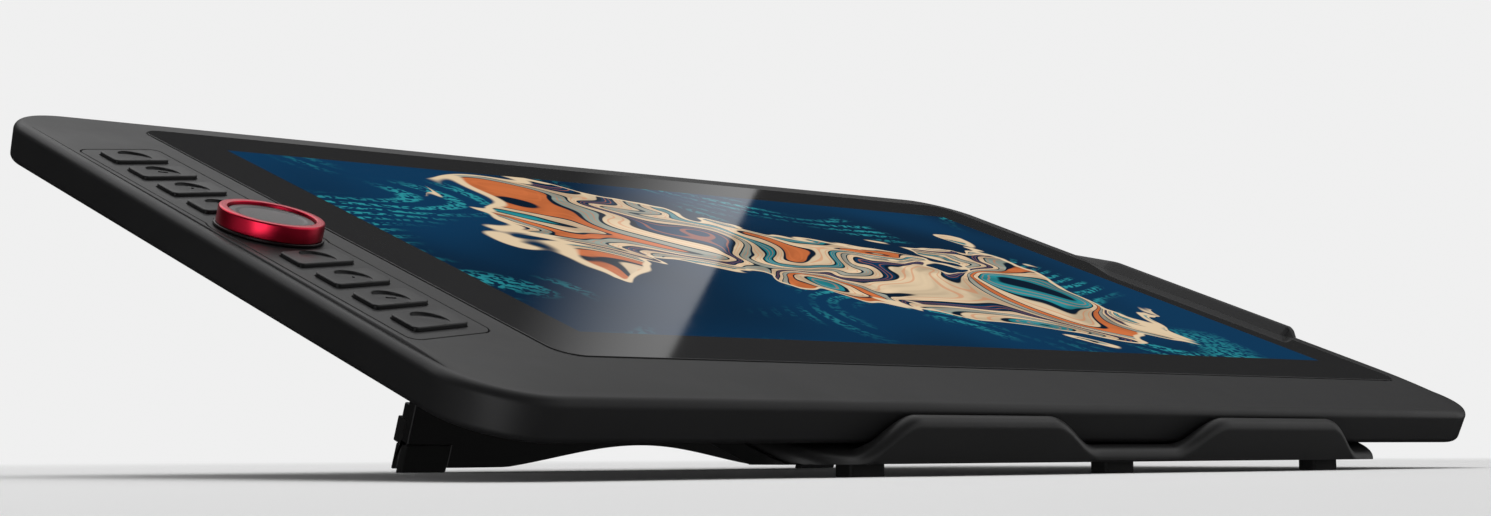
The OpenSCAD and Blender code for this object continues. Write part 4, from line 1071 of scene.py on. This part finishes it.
def arch(s, x):
    """Height of the arch under the leg, which the deck's cutout follows: a cosine hump."""
    return s.arch_h * (1 - ease(np.abs(x), 0, s.arch_half))


def cutout_outline(s):
    """Outline of the deck's cutout, anticlockwise, its front edge arched like the leg."""
    side, x = s.cut_w / 2, np.linspace(-s.arch_half, s.arch_half, 65)
    corner = s.cut_front + s.cut_r
    return np.concatenate(
        [
            [[side, s.cut_rear], [-side, s.cut_rear]],
            arc(s.cut_r - side, corner, s.cut_r, 180, 90),
            np.column_stack([x, s.cut_front + arch(s, x)]),
            arc(side - s.cut_r, corner, s.cut_r, 270, 90),
        ]
    )


def lip_top(s, x):
    """Height of the lip: low in the middle, two humps, level with the deck at its ends."""
    a = np.abs(x)
    rise = (s.lip_h - s.dip_h) * ease(a, s.dip_half, s.hump_in)
    return s.dip_h + rise - s.lip_h * ease(a, s.hump_out, s.lip_half)


class PEN_OT_deck(Operator):
    """Upper and lower shells of the deck: rim, humped lip, cutout for the leg, rear nose and seam"""

    bl_idname = "pen.deck"
    bl_label = "Deck"

    def execute(self, context):
        s = context.scene.pen_stand
        material = moulded("satin_stand", context.scene.pen_finish.stand, 0.4, 0.05)
        cut = cutout_outline(s)
        self.upper(s, cut, material)
        self.lower(s, cut, material)
        return {"FINISHED"}

    def upper(self, s, cut, material):
        quarter = np.linspace(0, np.pi / 2, 9)
        inset = np.concatenate([[0], s.rim * (1 - np.cos(quarter)), [s.rim + 0.0004]])
        drop = np.concatenate([[-s.seam], s.rim * (np.sin(quarter) - 1), [0]])
        ax, front, rear = s.width / 2 - s.corner, s.corner, s.length - s.corner

        # The rim from the lip's right end round the back to its left end:
        # arcs of the corner radius less the inset
        r = (s.corner - inset)[:, None]
        turn = np.radians(np.linspace(0, 90, 15))[None]
        runs = []
        for cx, cy, start in ((ax, front, 270), (ax, rear, 0), (-ax, rear, 90), (-ax, front, 180)):
            a = turn + math.radians(start)
            runs.append(np.stack([cx + r * np.cos(a), cy + r * np.sin(a)], -1))
        ends = [np.stack([np.full_like(inset, x), inset], -1)[:, None] for x in (s.lip_half, -s.lip_half)]
        plan = np.concatenate([ends[0], *runs, ends[1]], 1)
        rim = np.concatenate([plan, np.broadcast_to(drop[:, None, None], plan.shape[:2] + (1,))], 2)

        # The lip: at each x a section whose front and back edges are round and whose foot
        # meets the deck in a fillet
        x = np.linspace(-s.lip_half, s.lip_half, 241)
        h = lip_top(s, x)[:, None]
        back_r = np.minimum(LIP_ROUND, 0.6 * h)
        foot_r = np.minimum(LIP_FILLET, 0.35 * h)
        ones = np.ones_like(h)
        fall = np.linspace(0, np.pi / 2, 8)[None]
        along = np.concatenate(
            [
                ones * inset,
                s.lip_t - back_r + back_r * np.sin(fall),
                s.lip_t + foot_r * (1 - np.cos(fall)),
                ones * (s.lip_t + 0.0025),
            ],
            1,
        )
        tall = np.concatenate(
            [
                ones * drop[:1],
                h + drop[1:],
                h - back_r * (1 - np.cos(fall)),
                foot_r * (1 - np.sin(fall)),
                ones * 0,
            ],
            1,
        )
        lip = np.stack([np.broadcast_to(x[:, None], along.shape), along, tall], -1)

        edge = [(-0.0008, 0), (-0.00055, -0.00006), (-0.00023, -0.00023), (-0.00006, -0.00055), (0, -0.0008)]
        wall = swept(cut, [*edge, (0, -s.seam)])
        shell = Shell(ON_DECK_LEVEL)
        shell.grid(rim, closed=False)
        shell.grid(lip, closed=False)
        start = len(inset) - 1
        face = np.concatenate([rim[-1], lip[0, start + 1 :], lip[1:-1, -1], lip[-1, :start:-1]])
        shell.fill(distinct(face), wall[0])
        shell.fill(np.concatenate([rim[0], lip[1:-1, 0]]), wall[-1])
        shell.grid(wall)
        # The nose: a strip along the rear edge below the shell
        plan = rim[0][:, :2]
        nose = plan[plan[:, 1] > s.length - s.nose_t]
        limit = s.length - s.nose_t
        reach = ax + math.sqrt(s.corner**2 - (limit - rear) ** 2)
        nose = np.concatenate([[[reach, limit]], nose, [[-reach, limit]]])
        profile = softened([(0, 0.0002 - s.seam, 0), (0, -s.nose_h, 0.001), (0.0012, -s.nose_h, 0)], 5)
        shell.block(nose, profile)
        piece("deck_upper", shell, material, "deck", ["stand_top_shell"])

    def lower(self, s, cut, material):
        reach = s.length - s.nose_t - s.tray_gap
        level_s = (SHELL_LEVEL - DECK_FRONT[2] + s.thickness * math.cos(TILT)) / math.sin(TILT)
        r, ax = s.corner, s.width / 2 - s.corner
        start_s = (SHELL_LEVEL - DECK_FRONT[2] + s.seam * math.cos(TILT)) / math.sin(TILT)
        turn = math.degrees(math.asin(1 - start_s / r))
        tray = np.concatenate(
            [
                arc(ax, r, r, -turn, turn), [[s.width / 2, level_s]], arc(ax, reach - r, r, 0, 90),
                arc(-ax, reach - r, r, 90, 90), [[-s.width / 2, level_s]], arc(-ax, r, r, 180, turn),
            ]
        )
        low = -s.thickness
        groove = -s.seam - s.groove_h
        sides = [(0, z, 0) for z in np.linspace(groove - 0.0008, low + 0.0012, 6)]
        profile = softened(
            [
                (s.groove_w, -s.seam, 0), (s.groove_w, groove, 0), (0, groove, 0.0003), *sides,
                (0, low, 0.0008), (0.0012, low, 0),
            ],
            4,
        )
        rings = swept(tray, profile)
        wall = swept(cut, [(0, -s.seam), (0, low + 0.0005), (-0.0005, low)])
        floor = rings[-1]
        side = 13
        near = np.concatenate([floor[-side - 1 :], floor[: side + 1]])
        far = floor[side : len(floor) - side]
        shell = Shell(ON_DECK_LEVEL)
        shell.grid(rings)
        shell.grid(wall)
        shell.cap(near)
        shell.fill(far, wall[-1])
        shell.fill(rings[0], wall[0])
        piece("deck_lower", shell, material, "deck", ["stand_bottom_shell"])


def distinct(line):
    """The line without points that repeat the one before."""
    step = np.linalg.norm(line - np.roll(line, 1, 0), axis=1)
    return line[step > 1e-7]


class PEN_OT_rubbers(Operator):
    """Rubber pads on the deck, front feet, leg feet and leg bumpers"""

    bl_idname = "pen.rubbers"
    bl_label = "Pads and feet"

    def execute(self, context):
        s = context.scene.pen_stand
        rubber = moulded("black_rubber", context.scene.pen_finish.rubber, 0.7, grain=3000.0, bump=0.3)
        shell = Shell(ON_DECK)
        soft = softened([(0, 0, 0), (0, s.pad_t, 0.0005), (0.0008, s.pad_t, 0)], 5)
        for x in (-s.pad_x, s.pad_x):
            for y, d in PAD_ROWS:
                shell.block(rounded(s.pad_w, d, 0.002, x, y), soft)
        piece("deck_pad_strips", shell, rubber, "deck", ["deck_pads"])
        shell = Shell(ON_DESK)
        soft = softened([(0.0008, 0, 0), (0, 0, 0.0004), (0, SHELL_LEVEL + 0.0002, 0)], 5)
        for x in FRONT_FEET:
            shell.block(rounded(*FRONT_FOOT, x, 0), soft)
        piece("front_feet_blocks", shell, rubber, "deck", ["front_feet"])
        for name in ("leg_feet", "leg_bumpers"):
            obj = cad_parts[name]
            obj.data.materials.clear()
            obj.data.materials.append(rubber)
            soften_node(name, 0.0004)
        return {"FINISHED"}


class PEN_OT_leg(Operator):
    """Folding leg: two arms with round ends, a window, an arched lower edge and grooves across its back"""

    bl_idname = "pen.leg"
    bl_label = "Leg"

    def execute(self, context):
        s = context.scene.pen_stand
        half, side = s.leg_t / 2, s.leg_w / 2
        in_x = side - s.arm_w
        c, sn = math.cos(TILT), math.sin(TILT)
        foot = LEG_LEVEL / c - s.leg_reach
        x = np.linspace(-s.arch_half, s.arch_half, 49)
        wz, wr, turns = s.window_z, s.window_r, 10
        plan = np.concatenate(
            [
                [[side, -1.0], [side, 0], [in_x, 0]],
                arc(in_x - wr, wz + wr, wr, 0, -90, turns),
                arc(wr - in_x, wz + wr, wr, 270, -90, turns),
                [[-in_x, 0], [-side, 0], [-side, -1.0]],
                np.column_stack([x, foot + arch(s, x)]),
            ]
        )
        faces = []
        for y in (-half, half):
            z = np.maximum(plan[:, 1], foot - y * sn / c)
            faces.append(np.column_stack([plan[:, 0], np.full(len(plan), y), z]))
        front, back = faces
        shell = Shell(ON_LEG)
        shell.cap(front)
        shell.cap(back)
        n = len(plan)
        # The arms' tops stay open here, because their round ends close them
        right, left = 1, 3 + 2 * (turns + 1)
        edges = [i for i in range(n) if i not in (right, left)]
        shell.patch(np.concatenate(faces), [[i, (i + 1) % n, n + (i + 1) % n, n + i] for i in edges])
        a = np.linspace(0, np.pi, 17)
        curve = np.column_stack([-half * np.cos(a), half * np.sin(a)])
        for x0, x1 in ((in_x, side), (-side, -in_x)):
            ends = [np.column_stack([np.full(len(curve), x), curve]) for x in (x0, x1)]
            shell.capped(np.array(ends), closed=False)
        leg = moulded("satin_leg", context.scene.pen_finish.leg, 0.42, 0.05)
        obj = piece("leg_plate", shell, leg, "leg", ["leg_panel"])
        cuts = Shell(ON_LEG)
        wide, deep = side + PAST, half + PAST
        for groove in GROOVES:
            low = groove - s.leg_reach
            self.box(cuts, -wide, wide, half - GROOVE_DEEP, deep, low, low + GROOVE_W)
        carve(obj, cuts)
        for low, high in STEPS:
            cuts = Shell(ON_LEG)
            for x0, x1 in ((side - STEP_W, wide), (-wide, STEP_W - side)):
                self.box(cuts, x0, x1, half - STEP_DEEP, deep, low - s.leg_reach, high - s.leg_reach)
            carve(obj, cuts)
        cuts = Shell(ON_LEG)
        for x0, x1 in ((side - RECESS_W, wide), (-wide, RECESS_W - side)):
            self.box(cuts, x0, x1, -deep, 0, -s.leg_reach - 0.01, RECESS_H - s.leg_reach)
        carve(obj, cuts)
        bevel(obj, 0.0006)
        return {"FINISHED"}

    def box(self, shell, x0, x1, y0, y1, z0, z1):
        """A closed block between two corners, for cutting."""
        plan = np.array([[x0, y0], [x1, y0], [x1, y1], [x0, y1]])
        shell.block(plan, [(0, z0), (0, z1)])


class PEN_OT_inner(Operator):
    """Finishes of the solids that are shown as they are"""

    bl_idname = "pen.inner"
    bl_label = "Inner pieces"

    def execute(self, context):
        finish = context.scene.pen_finish
        steel = drawn("plain_steel", (0.42, 0.43, 0.44), 0.3)
        bright = drawn("socket_steel", (0.6, 0.61, 0.63), 0.22)
        board = moulded("green_board", (0.012, 0.09, 0.035), 0.4, drift=0.35, grain=900.0)
        amber = moulded("amber_film", (0.42, 0.15, 0.02), 0.35, grain=700.0)
        looks = {
            "rear_cover": moulded("satin_cover", finish.case, 0.5),
            "power_button": moulded("satin_case", finish.case),
            "glass_adhesive": moulded("black_tape", (0.008, 0.008, 0.008), 0.7),
            "lcd_panel": moulded("panel_glass", (0.012, 0.014, 0.02), 0.2),
            "backlight": moulded("white_diffuser", (0.75, 0.76, 0.77), 0.6),
            "digitizer_sheet": amber,
            "shield_plate": drawn("plain_sheet", (0.62, 0.63, 0.65), 0.35),
            "main_board": board,
            "key_board": board,
            "port_board": board,
            "board_standoffs": drawn("brass_posts", (0.6, 0.42, 0.16), 0.3),
            "display_ribbon": amber,
            "key_ribbon": amber,
            "port_ribbon": amber,
            "key_switches": moulded("grey_switch", (0.2, 0.21, 0.22), 0.5),
            "dial_encoder": moulded("grey_switch", (0.2, 0.21, 0.22), 0.5),
            "usb_sockets": bright,
            "case_screws": steel,
            "shield_screws": steel,
            "board_screws": steel,
            "stand_screws": steel,
            "hinge_pins": steel,
        }
        for name, material in looks.items():
            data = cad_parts[name].data
            data.materials.clear()
            data.materials.append(material)
        soften_node("rear_cover", 0.0003)
        soften_node("power_button", 0.0003)
        return {"FINISHED"}


# Stage


def seen_rays(tree):
    """1 for rays from the camera, mirrors and glass, 0 for the rest."""
    path = add(tree, "ShaderNodeLightPath").outputs
    seen = math_node(tree, "MAXIMUM", path["Is Camera Ray"], path["Is Glossy Ray"])
    return math_node(tree, "MAXIMUM", seen, path["Is Transmission Ray"])


class PEN_OT_stage(Operator):
    """Pale floor and backdrop, soft lamps and the camera"""

    bl_idname = "pen.stage"
    bl_label = "Stage"

    def execute(self, context):
        scene = context.scene
        stage = scene.pen_stage
        scene.view_settings.view_transform = "Standard"
        self.backdrop(scene, stage)
        self.floor(scene, stage)
        self.tent(scene)
        self.lamp(scene, "overhead", (-0.2, 0.3, 1.9), (0.0, 0.12, 0.05), (2.4, 1.6), 26.0)
        self.lamp(scene, "side", (-1.9, 0.1, 1.0), (0.0, 0.1, 0.05), (1.2, 1.2), 1.5)
        self.camera(scene, stage)
        return {"FINISHED"}

    def backdrop(self, scene, stage):
        """A pale ground for rays from the camera, mirrors and glass, and a softer even light for the rest."""
        world = bpy.data.worlds.new("studio")
        world.use_nodes = True
        tree = world.node_tree
        tree.nodes.clear()
        ground = add(tree, "ShaderNodeBackground", {"Color": rgba(stage.pale), "Strength": 1.0})
        fill = add(tree, "ShaderNodeBackground", {"Color": rgba(stage.pale), "Strength": 0.35})
        inputs = {0: seen_rays(tree), 1: fill.outputs[0], 2: ground.outputs[0]}
        both = add(tree, "ShaderNodeMixShader", inputs)
        out = add(tree, "ShaderNodeOutputWorld")
        tree.links.new(both.outputs[0], out.inputs[0])
        scene.world = world

    def tent(self, scene):
        """A dark tent that only reflections show, with lit panels: windows in azimuth, from +Y to +X,
        and in height."""
        rise = np.radians(np.linspace(-89.5, 89.5, 48))
        shell = Shell(ON_DESK)
        radius, fade = 6.0, 0.05
        shell.grid(turned(radius * np.column_stack([np.cos(rise), np.sin(rise)]), 0, 0, 96))
        material = bpy.data.materials.new("tent")
        material.use_nodes = True
        tree = material.node_tree
        tree.nodes.clear()
        place = add(tree, "ShaderNodeTexCoord").outputs["Object"]
        way = add(tree, "ShaderNodeVectorMath", {0: place}, operation="NORMALIZE").outputs[0]
        split = add(tree, "ShaderNodeSeparateXYZ", {0: way}).outputs
        azimuth = math_node(tree, "ARCTAN2", split[0], split[1])
        light = 0.012
        # Each panel: left and right azimuth, the fade at each of them, lower and upper height, light
        panels = (
            (46.1, 46.15, 5.0, 0.15, 0.1, 0.5, 0.5),
            (-45.0, 130.0, 15.0, 15.0, 0.55, 1.1, 1.0),
            (-60.0, 20.0, 15.0, 35.0, 0.55, 1.1, 1.0),
            (100.0, 165.0, 15.0, 14.0, -0.05, 0.6, 1.3),
            (-155.0, -95.0, 20.0, 60.0, -0.7, 0.05, 0.6),
            (-138.0, -112.0, 8.0, 8.0, -0.7, 0.05, 3.4),
            (110.0, 179.0, 15.0, 1.0, -0.7, -0.15, 0.2),
        )
        for left, right, fade_in, fade_out, low, high, strength in panels:
            across = math_node(
                tree, "MULTIPLY",
                remap(tree, azimuth, math.radians(left - fade_in), math.radians(left)),
                remap(tree, azimuth, math.radians(right), math.radians(right + fade_out), 1.0, 0.0),
            )
            tall = math_node(
                tree, "MULTIPLY",
                remap(tree, split[2], low - fade, low),
                remap(tree, split[2], high, high + fade, 1.0, 0.0),
            )
            glow = math_node(tree, "MULTIPLY", math_node(tree, "MULTIPLY", across, tall), strength)
            light = math_node(tree, "ADD", glow, light)
        glow = add(tree, "ShaderNodeEmission", {"Color": light})
        tree.links.new(glow.outputs[0], add(tree, "ShaderNodeOutputMaterial").inputs[0])
        obj = bpy.data.objects.new("tent", shell.mesh("tent"))
        obj.data.materials.append(material)
        scene.collection.objects.link(obj)
        for ray in ("camera", "diffuse", "transmission", "volume_scatter", "shadow"):
            setattr(obj, f"visible_{ray}", False)

    def floor(self, scene, stage):
        """A wide disc of plain pale paint: rings of growing radius."""
        radius = np.concatenate([[0.0], np.geomspace(0.2, 40.0, 24)])
        rows = turned(np.column_stack([radius, np.zeros_like(radius)]), 0, 0, 64)
        shell = Shell(ON_DESK)
        shell.grid(rows)
        material, tree, shader = blank_material("pale_floor")
        place = add(tree, "ShaderNodeTexCoord").outputs["Object"]
        low, high = [c * 0.985 for c in stage.pale], list(stage.pale)
        paint = mix(tree, noise(tree, place, 3.0).outputs[0], rgba(low), rgba(high))
        tree.links.new(paint, shader.inputs["Base Color"])
        shader.inputs["Roughness"].default_value = 0.9
        shader.inputs["Specular IOR Level"].default_value = 0.1
        # Far from the object the floor turns into the backdrop
        away = add(tree, "ShaderNodeVectorMath", {0: place}, operation="LENGTH").outputs["Value"]
        share = math_node(tree, "MULTIPLY", remap(tree, away, 0.45, 1.1), seen_rays(tree))
        glow = add(tree, "ShaderNodeEmission", {"Color": rgba(stage.pale)})
        both = add(tree, "ShaderNodeMixShader", {0: share, 1: shader.outputs[0], 2: glow.outputs[0]})
        tree.links.new(both.outputs[0], tree.nodes["Material Output"].inputs[0])
        obj = bpy.data.objects.new("floor", shell.mesh("floor"))
        obj.data.materials.append(material)
        obj.data.flip_normals()
        scene.collection.objects.link(obj)
        obj.visible_glossy = False

    def lamp(self, scene, name, place, target, size, power):
        """A soft rectangular lamp that looks at a point."""
        data = bpy.data.lights.new(name, "AREA")
        data.shape = "RECTANGLE"
        data.size, data.size_y = size
        data.energy = power
        obj = bpy.data.objects.new(name, data)
        obj.location = place
        obj.rotation_euler = (Vector(target) - Vector(place)).to_track_quat("-Z", "Y").to_euler()
        scene.collection.objects.link(obj)
        obj.visible_glossy = False

    def camera(self, scene, stage):
        """The photograph's own viewpoint: yaw from +Y towards +X, then pitch, then roll."""
        data = bpy.data.cameras.new("view")
        data.sensor_width = 36.0
        data.lens = stage.lens
        data.shift_x, data.shift_y = stage.shift
        data.clip_start = 0.01
        obj = bpy.data.objects.new("view", data)
        turn = (
            Matrix.Rotation(-stage.yaw, 4, "Z")
            @ Matrix.Rotation(math.pi / 2 + stage.pitch, 4, "X")
            @ Matrix.Rotation(-stage.roll, 4, "Z")
        )
        obj.matrix_world = Matrix.Translation(Vector(stage.eye)) @ turn
        scene.collection.objects.link(obj)
        scene.camera = obj


OPERATORS = (
    PEN_OT_case, PEN_OT_screen, PEN_OT_keys, PEN_OT_dial, PEN_OT_ridge, PEN_OT_tablet_feet,
    PEN_OT_deck, PEN_OT_rubbers, PEN_OT_leg, PEN_OT_inner, PEN_OT_stage,
)


class PEN_PT_panel(Panel):
    """Lists the pieces and their sizes"""

    bl_idname = "PEN_PT_panel"
    bl_label = "Pen display"
    bl_space_type = "VIEW_3D"
    bl_region_type = "UI"
    bl_category = "Pen display"

    def draw(self, context):
        for operator in OPERATORS:
            self.layout.operator(operator.bl_idname)
        for name, (group, _) in GROUPS.items():
            box = self.layout.box()
            for label in group.__annotations__:
                box.prop(getattr(context.scene, name), label)


GROUPS = {
    "pen_tablet": (PenTabletSizes, "Sizes of the tablet"),
    "pen_stand": (PenStandSizes, "Sizes of the stand"),
    "pen_finish": (PenFinish, "Colours of the finishes"),
    "pen_stage": (PenStage, "Camera and light"),
}


def register():
    for group, _ in GROUPS.values():
        bpy.utils.register_class(group)
    for operator in OPERATORS:
        bpy.utils.register_class(operator)
    bpy.utils.register_class(PEN_PT_panel)
    for name, (group, description) in GROUPS.items():
        pointer = PointerProperty(type=group, name=group.__name__, description=description)
        setattr(bpy.types.Scene, name, pointer)


def unregister():
    for name in GROUPS:
        delattr(bpy.types.Scene, name)
    bpy.utils.unregister_class(PEN_PT_panel)
    for operator in reversed(OPERATORS):
        bpy.utils.unregister_class(operator)
    for group, _ in reversed(GROUPS.values()):
        bpy.utils.unregister_class(group)


def main():
    register()
    for operator in OPERATORS:
        area, name = operator.bl_idname.split(".")
        getattr(getattr(bpy.ops, area), name)()


if __name__ == "__main__":
    main()
